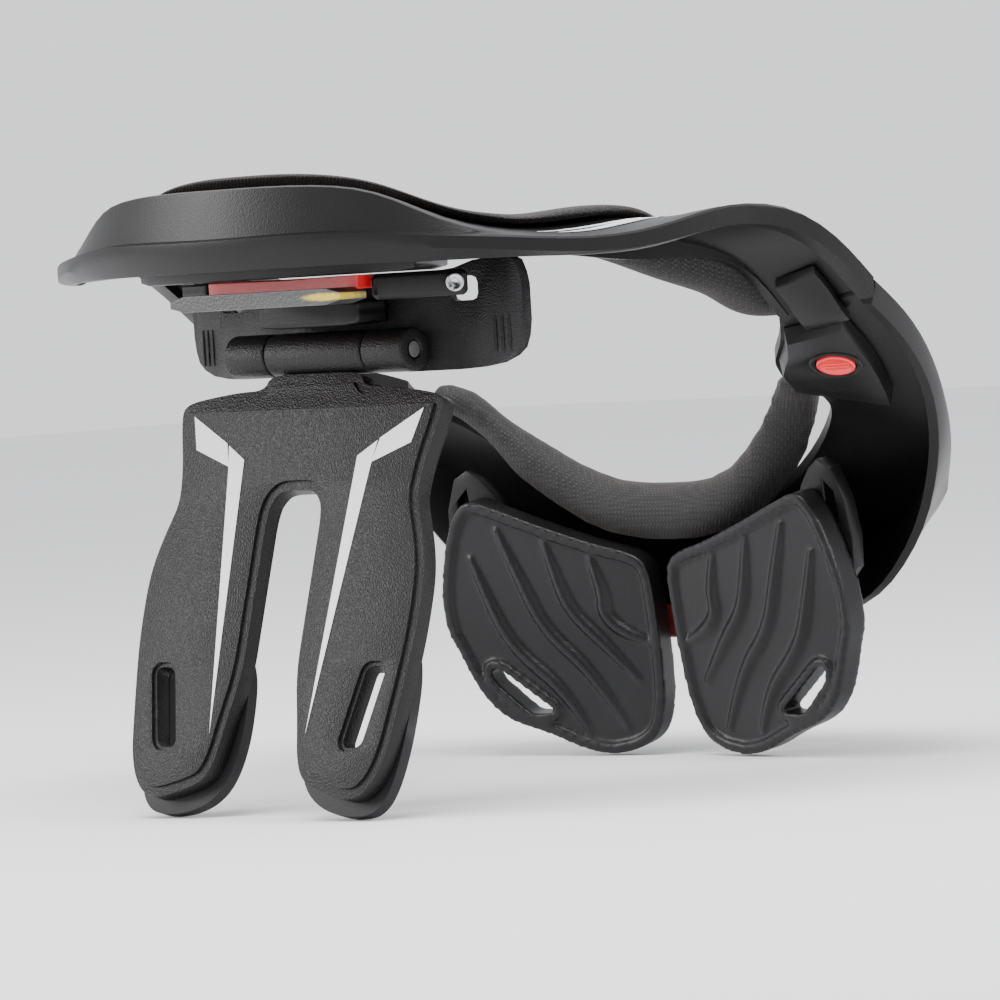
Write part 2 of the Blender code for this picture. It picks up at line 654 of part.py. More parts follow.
def make_bracket(low, top, plate_inset, plastic):
    """A level plate under the table with a raised outer wall, mirrored about the middle."""
    sections = []
    steps = 9
    wall_in = BRACKET_INSET + BRACKET_WALL
    for i in range(steps + 1):
        angle = BRACKET_HALF_ANGLE * i / steps
        chamfer = 0.25 * BRACKET_RISE if i == steps else 0.0
        sections.append([
            ring_point(angle, BRACKET_INSET, low + chamfer * 0.4),
            ring_point(angle, BRACKET_INSET, top + BRACKET_RISE - chamfer),
            ring_point(angle, wall_in, top + BRACKET_RISE - chamfer),
            ring_point(angle, wall_in, top),
            ring_point(angle, plate_inset, top),
            ring_point(angle, plate_inset, low + chamfer * 0.4),
        ])
    return loft("adjuster_bracket", sections, plastic)


def make_adjuster(plastic, red, grey, steel):
    """Bracket under the table, the red clip with its stop and arm, the bar and the wedge."""
    top = TABLE_ROWS[0][6] * RING_HEIGHT - GAP
    low = top - BRACKET_THICKNESS
    plate_inset = HINGE_INSET + KNUCKLE_RADIUS + GAP
    make_bracket(low, top, plate_inset, plastic)
    box(
        "angle_wedge", (2 * WEDGE_HALF_WIDTH, WEDGE_DEPTH, WEDGE_HEIGHT),
        (0, -RING_HALF_DEPTH + plate_inset - GAP - WEDGE_DEPTH / 2,
         HINGE_HEIGHT + KNUCKLE_RADIUS + 0.0015 + WEDGE_HEIGHT / 2), plastic, bevel=0.0015,
    )
    clip_y = -RING_HALF_DEPTH + BRACKET_INSET + BAR_DEPTH + RED_CLIP_DEPTH / 2 - 0.005
    clip_z = low - GAP - RED_CLIP_HEIGHT / 2
    middle = ADJUSTER_OFFSET
    box(
        "adjuster_clip", (2 * CLIP_HALF_LENGTH, RED_CLIP_DEPTH, RED_CLIP_HEIGHT),
        (middle, clip_y, clip_z), red, bevel=0.0012,
    )
    box(
        "adjuster_stop", (STOP_LENGTH, RED_CLIP_DEPTH, RED_CLIP_HEIGHT),
        (middle - CLIP_HALF_LENGTH - GAP - STOP_LENGTH / 2, clip_y, clip_z), plastic, bevel=0.0008,
    )
    bar_y = clip_y - RED_CLIP_DEPTH / 2 - GAP - BAR_DEPTH / 2
    bar_z = clip_z - RED_CLIP_HEIGHT / 2 + 0.0007 - BAR_HEIGHT / 2
    box(
        "adjuster_bar", (2 * BAR_HALF_LENGTH, BAR_DEPTH, BAR_HEIGHT), (middle, bar_y, bar_z),
        grey, bevel=0.0012,
    )
    turn = Matrix.Rotation(math.radians(ARM_TURN), 4, "Z")
    start = Vector((
        middle + CLIP_HALF_LENGTH + GAP + ARM_DEPTH * math.sin(math.radians(ARM_TURN)) / 2,
        clip_y, low - GAP - ARM_HEIGHT / 2,
    ))
    frame = Matrix.Translation(start) @ turn
    box(
        "adjuster_arm", (ARM_LENGTH, ARM_DEPTH, ARM_HEIGHT), (ARM_LENGTH / 2, 0, 0), plastic,
        matrix=frame, bevel=0.0015,
    )
    face = Matrix.Translation((0.86 * ARM_LENGTH, -ARM_DEPTH / 2 - GAP - 0.0006, 0))
    tube(
        "adjuster_screw", SCREW_RADIUS, 0.0, 0.0012, steel,
        frame @ face @ Matrix.Rotation(math.radians(90), 4, "X"), 20,
    )


def band_row(angle):
    """The front band's section values at any angle."""
    return interpolate(CHASSIS_ROWS, angle)


def under_band(angle, inset, depth, side=1):
    """A point below the underside of the front band."""
    height = chassis_deck(band_row(angle), inset) - SHELL - depth
    point = ring_point(angle, inset, height)
    point.x *= side
    return point


def button_frame(side):
    """Where the button sits, with the way that it is pressed as its Z axis."""
    step = 0.5
    middle = under_band(BUTTON_ANGLE, BUTTON_INSET, HOUSING_DEPTH, side)
    along = under_band(BUTTON_ANGLE + step, BUTTON_INSET, HOUSING_DEPTH, side) - middle
    outwards = under_band(BUTTON_ANGLE, BUTTON_INSET - 0.001, HOUSING_DEPTH, side) - middle
    press = along.cross(outwards).normalized()
    if press.z < 0:
        press.negate()
    return middle, press


def make_closure(side, label, plastic, red):
    """Housing under the band, the button in it, and the tongue from the rear table."""
    sections = []
    for i in range(7):
        angle = HOUSING_START + (HOUSING_END - HOUSING_START) * i / 6
        outer = HOUSING_INSET
        inner = min(outer + HOUSING_WIDTH, band_row(angle)[2] * BAND_WIDTH - 0.001)
        mid = (outer + inner) / 2
        sections.append([
            under_band(angle, outer, 2 * GAP, side),
            under_band(angle, mid, 2 * GAP, side),
            under_band(angle, inner, 2 * GAP, side),
            under_band(angle, inner - 0.001, HOUSING_DEPTH, side),
            under_band(angle, mid, HOUSING_DEPTH, side),
            under_band(angle, outer + 0.001, HOUSING_DEPTH, side),
        ])
    housing = loft("closure_housing_" + label, sections, plastic, mirrored=False)
    middle, press = button_frame(side)
    turn = press.to_track_quat("Z", "Y").to_matrix().to_4x4()
    hole = tube(
        "button_hole_" + label, BUTTON_RADIUS + BUTTON_CLEARANCE, 0.0, 0.030, None,
        Matrix.Translation(middle) @ turn, 32,
    )
    bpy.data.collections[COLLECTION].objects.unlink(hole)
    bpy.data.collections["cutters"].objects.link(hole)
    cut(housing, hole)
    centre = middle + press * (BUTTON_THICKNESS / 2 - BUTTON_PROUD)
    tube(
        "button_" + label, BUTTON_RADIUS, 0.0, BUTTON_THICKNESS, red,
        Matrix.Translation(centre) @ turn, 32,
    )
    tongue = []
    for angle in (89.0, 92.0, SEAM_ANGLE, HOUSING_START - 0.35):
        rows = [interpolate(TABLE_ROWS, angle), band_row(angle)]
        section = []
        for inset, drop in (
            (TONGUE_INSET, 0.0), (TONGUE_INSET + TONGUE_WIDTH, 0.0),
            (TONGUE_INSET + TONGUE_WIDTH, TONGUE_THICKNESS), (TONGUE_INSET, TONGUE_THICKNESS),
        ):
            rear = table_deck(rows[0], inset)
            front = chassis_deck(rows[1], inset)
            deck = rear if angle < 94 else min(rear, front) if angle <= SEAM_ANGLE else front
            point = ring_point(angle, inset, deck - SHELL - 3 * GAP - drop)
            point.x *= side
            section.append(point)
        tongue.append(section)
    loft("closure_tongue_" + label, tongue, plastic, mirrored=False)


def make_closure_hinge(table, chassis, plastic, steel):
    """The upright hinge at the left seam: a notch, a knuckle of each half and their pin."""
    corner = ring_point(SEAM_ANGLE, CLOSURE_RADIUS, 0.0)
    x = -corner.x
    y = corner.y
    high = CHASSIS_ROWS[0][1] * RING_HEIGHT + 0.0005
    middle = high - CLOSURE_LENGTH * 0.65
    notch = tube(
        "closure_notch", CLOSURE_RADIUS + 2 * GAP, 0.0, 0.060, None,
        Matrix.Translation((x, y, middle)), 32,
    )
    bpy.data.collections[COLLECTION].objects.unlink(notch)
    bpy.data.collections["cutters"].objects.link(notch)
    cut(table, notch)
    cut(chassis, notch)
    half = CLOSURE_LENGTH * 0.65 - GAP / 2
    for name, centre in (
        ("rear_closure_knuckle", middle + GAP / 2 + half / 2),
        ("front_closure_knuckle", middle - GAP / 2 - half / 2),
    ):
        tube(
            name, CLOSURE_RADIUS, CLOSURE_PIN_RADIUS + GAP, half, plastic,
            Matrix.Translation((x, y, centre)), 24,
        )
    tube(
        "closure_pin", CLOSURE_PIN_RADIUS, 0.0, 2 * half, steel,
        Matrix.Translation((x, y, middle)), 16,
    )


def chest_pad_plane(x, z):
    """Depth of the chest pads' rear faces."""
    return CHEST_PAD_FORWARD - CHEST_PAD_SWEEP * abs(x) - CHEST_PAD_LEAN * z


def chest_pad_frame():
    """Local frame of the right chest pad: x outwards, y up, z forwards."""
    forward = Vector((CHEST_PAD_SWEEP, 1.0, CHEST_PAD_LEAN)).normalized()
    outwards = Vector((1.0, -CHEST_PAD_SWEEP, 0.0)).normalized()
    up = forward.cross(outwards) * -1.0
    return outwards, up, forward


def chest_shape(rows):
    """A chest pad outline in the pad's own frame."""
    outwards, up, _ = chest_pad_frame()
    origin = Vector((0.0, CHEST_PAD_FORWARD, 0.0))
    flat = []
    for share_x, share_z in rows:
        x = share_x * CHEST_PAD_WIDTH
        z = share_z * CHEST_PAD_HEIGHT
        offset = Vector((x, chest_pad_plane(x, z), z)) - origin
        flat.append((offset.dot(outwards), offset.dot(up)))
    return flat


def make_chest_pads(foam, plastic, red):
    """The two foam pads with their strap holes, the carriers and the clip between them."""
    outwards, up, forward = chest_pad_frame()
    frame = Matrix((outwards, up, outwards.cross(up))).transposed().to_4x4()
    back = frame.col[2].to_3d()
    sign = 1.0 if back.dot(forward) > 0 else -1.0
    origin = Vector((0.0, CHEST_PAD_FORWARD, 0.0)) + back * sign * CHEST_PAD_THICKNESS / 2
    matrix = Matrix.Translation(origin) @ frame
    pad = slab(
        "chest_pad_right", [chest_shape(CHEST_PAD_OUTLINE), chest_shape(CHEST_PAD_HOLE)],
        CHEST_PAD_THICKNESS, foam, matrix, 0.0020,
    )
    mirrored_copy(pad, "chest_pad_left", foam)
    behind = back * sign * (CHEST_PAD_THICKNESS + CARRIER_THICKNESS + 2 * GAP) / 2
    carrier = slab(
        "pad_carrier_right", [chest_shape(CARRIER_OUTLINE), chest_shape(CARRIER_SLOT)],
        CARRIER_THICKNESS, plastic, Matrix.Translation(behind) @ matrix, 0.0010,
    )
    mirrored_copy(carrier, "pad_carrier_left", plastic)
    foot = CHASSIS_ROWS[-1]
    foot_inset = foot[4] * BAND_WIDTH
    bow = math.sqrt(1.0 - (CLIP_HALF_WIDTH / (RING_HALF_WIDTH - foot_inset)) ** 2)
    clip_y = (RING_HALF_DEPTH - foot_inset) * bow - 2 * GAP - CLIP_DEPTH / 2
    box(
        "front_clip", (2 * CLIP_HALF_WIDTH, CLIP_DEPTH, CLIP_HEIGHT),
        (0, clip_y, foot[5] * RING_HEIGHT + CLIP_HEIGHT / 2), red, bevel=0.0010,
    )


def turn_about(name, point, children):
    """An empty on a joint's axis, carrying the pieces that turn about it."""
    axis = bpy.data.objects.new(name, None)
    axis.location = point
    axis.empty_display_size = 0.02
    bpy.data.collections[COLLECTION].objects.link(axis)
    for child in children:
        piece = bpy.data.objects[child]
        piece.parent = axis
        piece.matrix_parent_inverse = Matrix.Translation(-Vector(point))


def main():
    """Build the brace."""
    start()
    plastic = material("moulded_plastic", (0.012, 0.011, 0.012), 0.45)
    fabric = material("woven_fabric", (0.015, 0.013, 0.013), 0.8)
    foam = material("ribbed_foam", (0.010, 0.010, 0.011), 0.6)
    rubber = material("rubber", (0.008, 0.008, 0.009), 0.7)
    red = material("red_plastic", (0.75, 0.02, 0.03), 0.4)
    grey = material("grey_plastic", (0.05, 0.05, 0.05), 0.5)
    steel = material("steel", (0.5, 0.5, 0.5), 0.3, 1.0)
    table = make_rear_table(plastic)
    make_neck_pad(fabric)
    chassis = make_front_chassis(plastic)
    make_collar_pad(fabric)
    make_hinge(plastic, steel)
    make_strut(plastic, rubber)
    make_adjuster(plastic, red, grey, steel)
    make_chest_pads(foam, plastic, red)
    for side, label in ((-1, "left"), (1, "right")):
        make_closure(side, label, plastic, red)
    make_closure_hinge(table, chassis, plastic, steel)
    turn_about("strut_axis", (0.0, -HINGE_BACK, HINGE_HEIGHT), STRUT_PIECES)
    seam = ring_point(SEAM_ANGLE, CLOSURE_RADIUS, CHASSIS_ROWS[0][1] * RING_HEIGHT)
    turn_about("closure_axis", (-seam.x, seam.y, seam.z), FRONT_PIECES)


main()
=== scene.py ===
# %% [markdown]
# # A motocross neck brace, dressed for a studio picture
# The brace is a hard plastic ring round an open neck. A padded table stands at the back, a
# two-legged strut hangs from a hinge under it, and the front half carries a padded collar and two
# ribbed foam chest pads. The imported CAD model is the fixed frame. Each cell below makes one piece
# or one finish and says why it is made that way.

# %% Load the fixed frame
import math

import bpy
from mathutils import Matrix, Vector


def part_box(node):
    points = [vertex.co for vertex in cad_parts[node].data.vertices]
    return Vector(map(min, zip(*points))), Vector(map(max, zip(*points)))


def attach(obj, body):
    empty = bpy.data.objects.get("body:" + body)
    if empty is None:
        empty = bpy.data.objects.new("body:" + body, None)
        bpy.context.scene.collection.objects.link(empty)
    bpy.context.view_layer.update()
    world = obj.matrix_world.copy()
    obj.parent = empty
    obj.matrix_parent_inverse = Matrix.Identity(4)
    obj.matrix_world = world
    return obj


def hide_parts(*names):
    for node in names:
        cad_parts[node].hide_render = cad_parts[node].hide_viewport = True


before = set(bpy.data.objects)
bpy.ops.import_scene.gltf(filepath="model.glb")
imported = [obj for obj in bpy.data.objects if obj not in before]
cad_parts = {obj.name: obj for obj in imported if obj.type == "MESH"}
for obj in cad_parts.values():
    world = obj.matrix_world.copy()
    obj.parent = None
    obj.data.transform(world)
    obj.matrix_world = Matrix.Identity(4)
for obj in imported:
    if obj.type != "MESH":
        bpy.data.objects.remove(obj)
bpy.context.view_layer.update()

# %% [markdown]
# ## Sizes shared by several pieces
# The ring is a family of ellipses seen from above, so a place on it is an angle from the back, an
# inset from the rim and a height. The strut is a flat plate that leans back from its hinge, so a
# place on it is a distance out from the middle and a distance down from the hinge.

# %% Places on the ring and on the strut
RING_HALF_WIDTH = 0.145
RING_HALF_DEPTH = 0.136
HINGE = Vector((0.0, -0.082, 0.141))
STRUT_TILT = math.radians(17.9)
CHEST_FORWARD = 0.079
CHEST_SWEEP = 0.14
CHEST_LEAN = 0.155
STRUT_UP = Vector((0.0, math.sin(STRUT_TILT), math.cos(STRUT_TILT)))
STRUT_REAR = Vector((0.0, -math.cos(STRUT_TILT), math.sin(STRUT_TILT)))
CHEST_REAR = Vector((-CHEST_SWEEP, -1.0, -CHEST_LEAN)).normalized()


def ring_point(angle, inset, height, side=1):
    """A place on the ring: degrees from the back, metres in from the rim, metres up."""
    turn = math.radians(angle)
    x = side * (RING_HALF_WIDTH - inset) * math.sin(turn)
    return Vector((x, -(RING_HALF_DEPTH - inset) * math.cos(turn), height))


def strut_point(out, down, proud):
    """A place on the strut: metres out, metres down from the hinge, metres behind its middle."""
    return HINGE + Vector((out, 0, 0)) - STRUT_UP * down + STRUT_REAR * proud


def chest_point(out, height, proud, side=1):
    """A place behind a chest pad's rear plane."""
    depth = CHEST_FORWARD - CHEST_SWEEP * out - CHEST_LEAN * height
    point = Vector((out, depth, height)) + CHEST_REAR * proud
    point.x *= side
    return point


# %% [markdown]
# ## Working by hand, without a mouse
# Operators act on whatever is selected, and the frame leaves its nodes selected. These helpers
# pick one piece, pick faces by the way they face, and apply modifiers at once, so that every
# finished piece is a plain mesh at the origin.

# %% Helpers for picking and finishing
def deselect_all():
    """Back to object mode with nothing selected."""
    if bpy.context.object and bpy.context.object.mode != "OBJECT":
        bpy.ops.object.mode_set(mode="OBJECT")
    bpy.ops.object.select_all(action="DESELECT")


def pick(piece):
    """Make a piece the only selected one."""
    deselect_all()
    bpy.context.view_layer.objects.active = piece
    piece.select_set(True)
    return piece


def settle(piece):
    """Put the piece's place into its mesh."""
    pick(piece)
    bpy.ops.object.transform_apply(location=True, rotation=True, scale=True)
    return piece


def apply_all(piece):
    """Apply every modifier in order."""
    pick(piece)
    for name in [m.name for m in piece.modifiers]:
        bpy.ops.object.modifier_apply(modifier=name)
    return piece


def copy_node(node, name):
    """A copy of a CAD node with its loose triangles welded and joined into quads."""
    piece = bpy.data.objects.new(name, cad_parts[node].data.copy())
    bpy.context.scene.collection.objects.link(piece)
    pick(piece)
    bpy.ops.mesh.customdata_custom_splitnormals_clear()
    bpy.ops.object.mode_set(mode="EDIT")
    bpy.ops.mesh.select_all(action="SELECT")
    bpy.ops.mesh.remove_doubles(threshold=0.00002)
    bpy.ops.mesh.tris_convert_to_quads(
        face_threshold=math.radians(40), shape_threshold=math.radians(60))
    bpy.ops.object.mode_set(mode="OBJECT")
    piece.data.materials.clear()
    return piece


def select_facing(piece, direction, least=0.9):
    """Enter edit mode with only the faces that look along a direction selected."""
    pick(piece)
    bpy.ops.object.mode_set(mode="EDIT")
    bpy.ops.mesh.select_mode(type="FACE")
    bpy.ops.mesh.select_all(action="DESELECT")
    bpy.ops.object.mode_set(mode="OBJECT")
    for face in piece.data.polygons:
        face.select = face.normal.dot(direction) > least
    bpy.ops.object.mode_set(mode="EDIT")


def round_edges(piece, width, segments=2, angle=35):
    """Round the sharp edges, so that they catch the light as moulded ones do."""
    bevel = piece.modifiers.new("Rounding", "BEVEL")
    bevel.width = width
    bevel.segments = segments
    bevel.limit_method = "ANGLE"
    bevel.angle_limit = math.radians(angle)
    bevel.use_clamp_overlap = True
    apply_all(piece)
    pick(piece)
    bpy.ops.object.shade_smooth_by_angle(angle=math.radians(38))
    return piece


def subdivide(piece, levels):
    """Subdivision with the same level in the view and the render, applied."""
    modifier = piece.modifiers.new("Smooth", "SUBSURF")
    modifier.levels = levels
    modifier.render_levels = levels
    return apply_all(piece)


def place(piece, body, mat, slot, *nodes):
    """Give a finished piece its material and its body, and hide the CAD nodes that it stands for.
    """
    piece.data.materials.clear()
    piece.data.materials.append(mat)
    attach(piece, body)
    if nodes:
        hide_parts(*nodes)
    return piece


# %% [markdown]
# ## Finishes
# Nearly everything is black, so the finishes differ in sheen and grain. Three effects are shared
# by many materials and are built once as node groups: a fine moulded grain, a woven cloth, and
# the pale rub that moulded edges get. Each puts out only values, colours and normals.

# %% Tools for building node groups
def new_group(name, inputs, outputs):
    """An empty shader node group with named sockets."""
    group = bpy.data.node_groups.new(name, "ShaderNodeTree")
    for label, kind, value in inputs:
        socket = group.interface.new_socket(name=label, in_out="INPUT", socket_type=kind)
        socket.default_value = value
    for label, kind in outputs:
        group.interface.new_socket(name=label, in_out="OUTPUT", socket_type=kind)
    return group, group.nodes.new("NodeGroupInput"), group.nodes.new("NodeGroupOutput")


def math_node(tree, operation, first, second=None):
    """A Math node; each input is a socket or a number."""
    node = tree.nodes.new("ShaderNodeMath")
    node.operation = operation
    for index, value in enumerate((first, second)):
        if value is None:
            continue
        if isinstance(value, (int, float)):
            node.inputs[index].default_value = value
        else:
            tree.links.new(value, node.inputs[index])
    return node.outputs[0]


# %% Moulded grain
grain_group, enter, leave = new_group(
    "moulded_grain",
    (("Scale", "NodeSocketFloat", 900.0), ("Depth", "NodeSocketFloat", 0.3)),
    (("Normal", "NodeSocketVector"), ("Mottle", "NodeSocketFloat")),
)
where = grain_group.nodes.new("ShaderNodeTexCoord")
pebbles = grain_group.nodes.new("ShaderNodeTexVoronoi")
pebbles.feature = "SMOOTH_F1"
cloud = grain_group.nodes.new("ShaderNodeTexNoise")
cloud.inputs["Scale"].default_value = 38.0
cloud.inputs["Detail"].default_value = 4.0
bump = grain_group.nodes.new("ShaderNodeBump")
bump.inputs["Distance"].default_value = 0.0006
grain_group.links.new(where.outputs["Object"], pebbles.inputs["Vector"])
grain_group.links.new(where.outputs["Object"], cloud.inputs["Vector"])
grain_group.links.new(enter.outputs["Scale"], pebbles.inputs["Scale"])
grain_group.links.new(enter.outputs["Depth"], bump.inputs["Strength"])
grain_group.links.new(pebbles.outputs["Distance"], bump.inputs["Height"])
grain_group.links.new(bump.outputs["Normal"], leave.inputs["Normal"])
grain_group.links.new(cloud.outputs["Fac"], leave.inputs["Mottle"])

# %% Woven cloth
weave_group, enter, leave = new_group(
    "woven_cloth",
    (("Threads", "NodeSocketFloat", 1500.0), ("Depth", "NodeSocketFloat", 0.5)),
    (("Normal", "NodeSocketVector"), ("Thread", "NodeSocketFloat")),
)
where = weave_group.nodes.new("ShaderNodeTexCoord")
split = weave_group.nodes.new("ShaderNodeSeparateXYZ")
weave_group.links.new(where.outputs["Object"], split.inputs[0])
waves = []
for axis in ("X", "Y", "Z"):
    scaled = math_node(weave_group, "MULTIPLY", split.outputs[axis], enter.outputs["Threads"])
    waves.append(math_node(weave_group, "SINE", scaled))
pair = math_node(weave_group, "MULTIPLY", waves[0], waves[2])
other = math_node(weave_group, "MULTIPLY", waves[1], waves[2])
third = math_node(weave_group, "MULTIPLY", waves[0], waves[1])
total = math_node(weave_group, "ADD", math_node(weave_group, "ADD", pair, other), third)
thread = math_node(weave_group, "MULTIPLY_ADD", total, 0.25)
thread.node.inputs[2].default_value = 0.5
bump = weave_group.nodes.new("ShaderNodeBump")
bump.inputs["Distance"].default_value = 0.0004
weave_group.links.new(enter.outputs["Depth"], bump.inputs["Strength"])
weave_group.links.new(thread, bump.inputs["Height"])
weave_group.links.new(bump.outputs["Normal"], leave.inputs["Normal"])
weave_group.links.new(thread, leave.inputs["Thread"])

# %% Rubbed edges
rub_group, enter, leave = new_group(
    "rubbed_edge",
    (("Start", "NodeSocketFloat", 0.53), ("Patchiness", "NodeSocketFloat", 60.0)),
    (("Rub", "NodeSocketFloat"),),
)
geometry = rub_group.nodes.new("ShaderNodeNewGeometry")
where = rub_group.nodes.new("ShaderNodeTexCoord")
patches = rub_group.nodes.new("ShaderNodeTexNoise")
rub_group.links.new(where.outputs["Object"], patches.inputs["Vector"])
rub_group.links.new(enter.outputs["Patchiness"], patches.inputs["Scale"])
above = math_node(rub_group, "SUBTRACT", geometry.outputs["Pointiness"], enter.outputs["Start"])
gain = math_node(rub_group, "MULTIPLY", above, 9.0)
gain.node.use_clamp = True
rub = math_node(rub_group, "MULTIPLY", gain, patches.outputs["Fac"])
rub_group.links.new(rub, leave.inputs["Rub"])
print("node groups", sorted(g.name for g in bpy.data.node_groups))


# %% [markdown]
# ## From groups to materials
# One function places the groups in a Principled material. Numbers that are the same all over,
# such as the sheen and the coat, are set on the shader itself, because a linked one is lost
# when the model is exported.

# %% The black, red, grey, white and steel finishes
def blend_colours(tree, factor, low, high):
    """A colour between two colours."""
    mix = tree.nodes.new("ShaderNodeMix")
    mix.data_type = "RGBA"
    tree.links.new(factor, mix.inputs["Factor"])
    for socket, value in ((mix.inputs["A"], low), (mix.inputs["B"], high)):
        if isinstance(value, tuple):
            socket.default_value = (*value, 1.0)
        else:
            tree.links.new(value, socket)
    return mix.outputs["Result"]


def spread(tree, value, low, high):
    """A value stretched from 0..1 to low..high."""
    node = tree.nodes.new("ShaderNodeMapRange")
    node.inputs["To Min"].default_value = low
    node.inputs["To Max"].default_value = high
    tree.links.new(value, node.inputs["Value"])
    return node.outputs["Result"]


def moulded(name, dark, light, rub, roughness, scale, depth, specular=0.5, coat=0.0):
    """A moulded plastic or foam: grain, slight mottling and rubbed edges."""
    mat = bpy.data.materials.new(name)
    mat.use_nodes = True
    tree = mat.node_tree
    shader = tree.nodes["Principled BSDF"]
    grain = tree.nodes.new("ShaderNodeGroup")
    grain.node_tree = grain_group
    grain.inputs["Scale"].default_value = scale
    grain.inputs["Depth"].default_value = depth
    edge = tree.nodes.new("ShaderNodeGroup")
    edge.node_tree = rub_group
    base = blend_colours(tree, grain.outputs["Mottle"], dark, light)
    worn = blend_colours(tree, edge.outputs["Rub"], base, rub)
    tree.links.new(worn, shader.inputs["Base Color"])
    tree.links.new(grain.outputs["Normal"], shader.inputs["Normal"])
    rough = spread(tree, grain.outputs["Mottle"], roughness - 0.06, roughness + 0.06)
    tree.links.new(rough, shader.inputs["Roughness"])
    shader.inputs["Specular IOR Level"].default_value = specular
    shader.inputs["Coat Weight"].default_value = coat
    return mat


def woven(name, dark, light, threads, depth):
    """A cloth with its threads in relief and a soft sheen."""
    mat = bpy.data.materials.new(name)
    mat.use_nodes = True
    tree = mat.node_tree
    shader = tree.nodes["Principled BSDF"]
    weave = tree.nodes.new("ShaderNodeGroup")
    weave.node_tree = weave_group
    weave.inputs["Threads"].default_value = threads
    weave.inputs["Depth"].default_value = depth
    tree.links.new(blend_colours(tree, weave.outputs["Thread"], dark, light),
                   shader.inputs["Base Color"])
    tree.links.new(weave.outputs["Normal"], shader.inputs["Normal"])
    tree.links.new(spread(tree, weave.outputs["Thread"], 0.85, 0.6), shader.inputs["Roughness"])
    shader.inputs["Sheen Weight"].default_value = 0.10
    shader.inputs["Sheen Roughness"].default_value = 0.5
    shader.inputs["Sheen Tint"].default_value = (0.75, 0.66, 0.60, 1.0)
    return mat


INK = (0.0030, 0.0028, 0.0031)
CHARCOAL = (0.0065, 0.0060, 0.0065)
RUBBED = (0.040, 0.039, 0.041)
satin_shell = moulded("satin_shell", INK, CHARCOAL, RUBBED, 0.36, 1900.0, 0.10, 0.24)
stippled_shell = moulded("stippled_shell", INK, CHARCOAL, RUBBED, 0.40, 2100.0, 0.40, 0.26)
ribbed_foam = moulded("ribbed_foam", INK, (0.010, 0.010, 0.011), (0.03, 0.03, 0.032),
                      0.36, 2100.0, 0.12, 0.30)
foot_rubber = moulded("foot_rubber", (0.006, 0.006, 0.007), CHARCOAL, RUBBED, 0.5, 1400.0, 0.1, 0.3)
glossy_red = moulded("glossy_red", (0.80, 0.016, 0.022), (0.90, 0.026, 0.032),
                     (0.9, 0.25, 0.22), 0.22, 1500.0, 0.03, coat=0.4)
dark_red = moulded("dark_red", (0.20, 0.008, 0.014), (0.28, 0.012, 0.02), (0.4, 0.1, 0.1),
                   0.35, 1500.0, 0.05)
white_print = moulded("white_print", (0.74, 0.75, 0.77), (0.80, 0.81, 0.83),
                      (0.7, 0.7, 0.7), 0.45, 1200.0, 0.04)
black_cloth = woven("black_cloth", (0.0026, 0.0025, 0.0026), (0.0140, 0.0128, 0.0125), 4200.0, 0.6)

steel = moulded("bright_steel", (0.42, 0.42, 0.43), (0.55, 0.55, 0.56), (0.8, 0.8, 0.8),
                0.28, 900.0, 0.05)
steel.node_tree.nodes["Principled BSDF"].inputs["Metallic"].default_value = 1.0
print("materials", len(bpy.data.materials))


# %% [markdown]
# ## The grey bar's worn patch
# The bar under the red clip has lost its paint near one end and shows a yellow patch. The patch
# is a soft blob in the bar's own coordinates, broken up by noise, and mixed into the grey.

# %% Worn grey plastic
WORN_AT = (0.0385, -0.1200, 0.1588)
WORN_STRETCH = (90.0, 60.0, 700.0)
grey_bar = moulded("worn_grey", (0.022, 0.022, 0.022), (0.045, 0.045, 0.045), (0.16, 0.16, 0.15),
                   0.4, 1200.0, 0.2)
tree = grey_bar.node_tree
where = tree.nodes.new("ShaderNodeTexCoord")
place_map = tree.nodes.new("ShaderNodeMapping")
place_map.inputs["Location"].default_value = tuple(
    -a * b for a, b in zip(WORN_AT, WORN_STRETCH))
place_map.inputs["Scale"].default_value = WORN_STRETCH
tree.links.new(where.outputs["Object"], place_map.inputs["Vector"])
blob = tree.nodes.new("ShaderNodeTexGradient")
blob.gradient_type = "SPHERICAL"
tree.links.new(place_map.outputs["Vector"], blob.inputs["Vector"])
speckle = tree.nodes.new("ShaderNodeTexNoise")
speckle.inputs["Scale"].default_value = 600.0
tree.links.new(where.outputs["Object"], speckle.inputs["Vector"])
patch = math_node(tree, "MULTIPLY", blob.outputs["Fac"], speckle.outputs["Fac"])
patch = math_node(tree, "MULTIPLY", patch, 5.0)
patch.node.use_clamp = True
shader = tree.nodes["Principled BSDF"]
under = shader.inputs["Base Color"].links[0].from_socket
tree.links.new(blend_colours(tree, patch, under, (0.60, 0.42, 0.02)), shader.inputs["Base Color"])

# %% [markdown]
# ## Camera, floor and light
# The photograph was taken from far away behind the right shoulder of a wearer, almost level. The
# camera stands on that line with a long lens, rolled a little as the photograph is. A pale floor
# and three large soft lamps make plain studio light, and the black plastic shows up by what it
# mirrors, so the lamps are wide.

# %% Camera
CAMERA_AT = Vector((1.389961, -1.548589, 0.166178))
CAMERA_BACK = Vector((0.66879305, -0.74254751, 0.03659294)).normalized()
CAMERA_RIGHT = Vector((0.7431, 0.6663, -0.0615))
CAMERA_RIGHT = (CAMERA_RIGHT - CAMERA_BACK * CAMERA_RIGHT.dot(CAMERA_BACK)).normalized()
camera_data = bpy.data.cameras.new("camera")
camera_data.sensor_width = 36.0
camera_data.lens = 234.0
camera = bpy.data.objects.new("camera", camera_data)
turn = Matrix((CAMERA_RIGHT, CAMERA_BACK.cross(CAMERA_RIGHT), CAMERA_BACK)).transposed()
camera.matrix_world = Matrix.Translation(CAMERA_AT) @ turn.to_4x4()
bpy.context.scene.collection.objects.link(camera)
bpy.context.scene.camera = camera

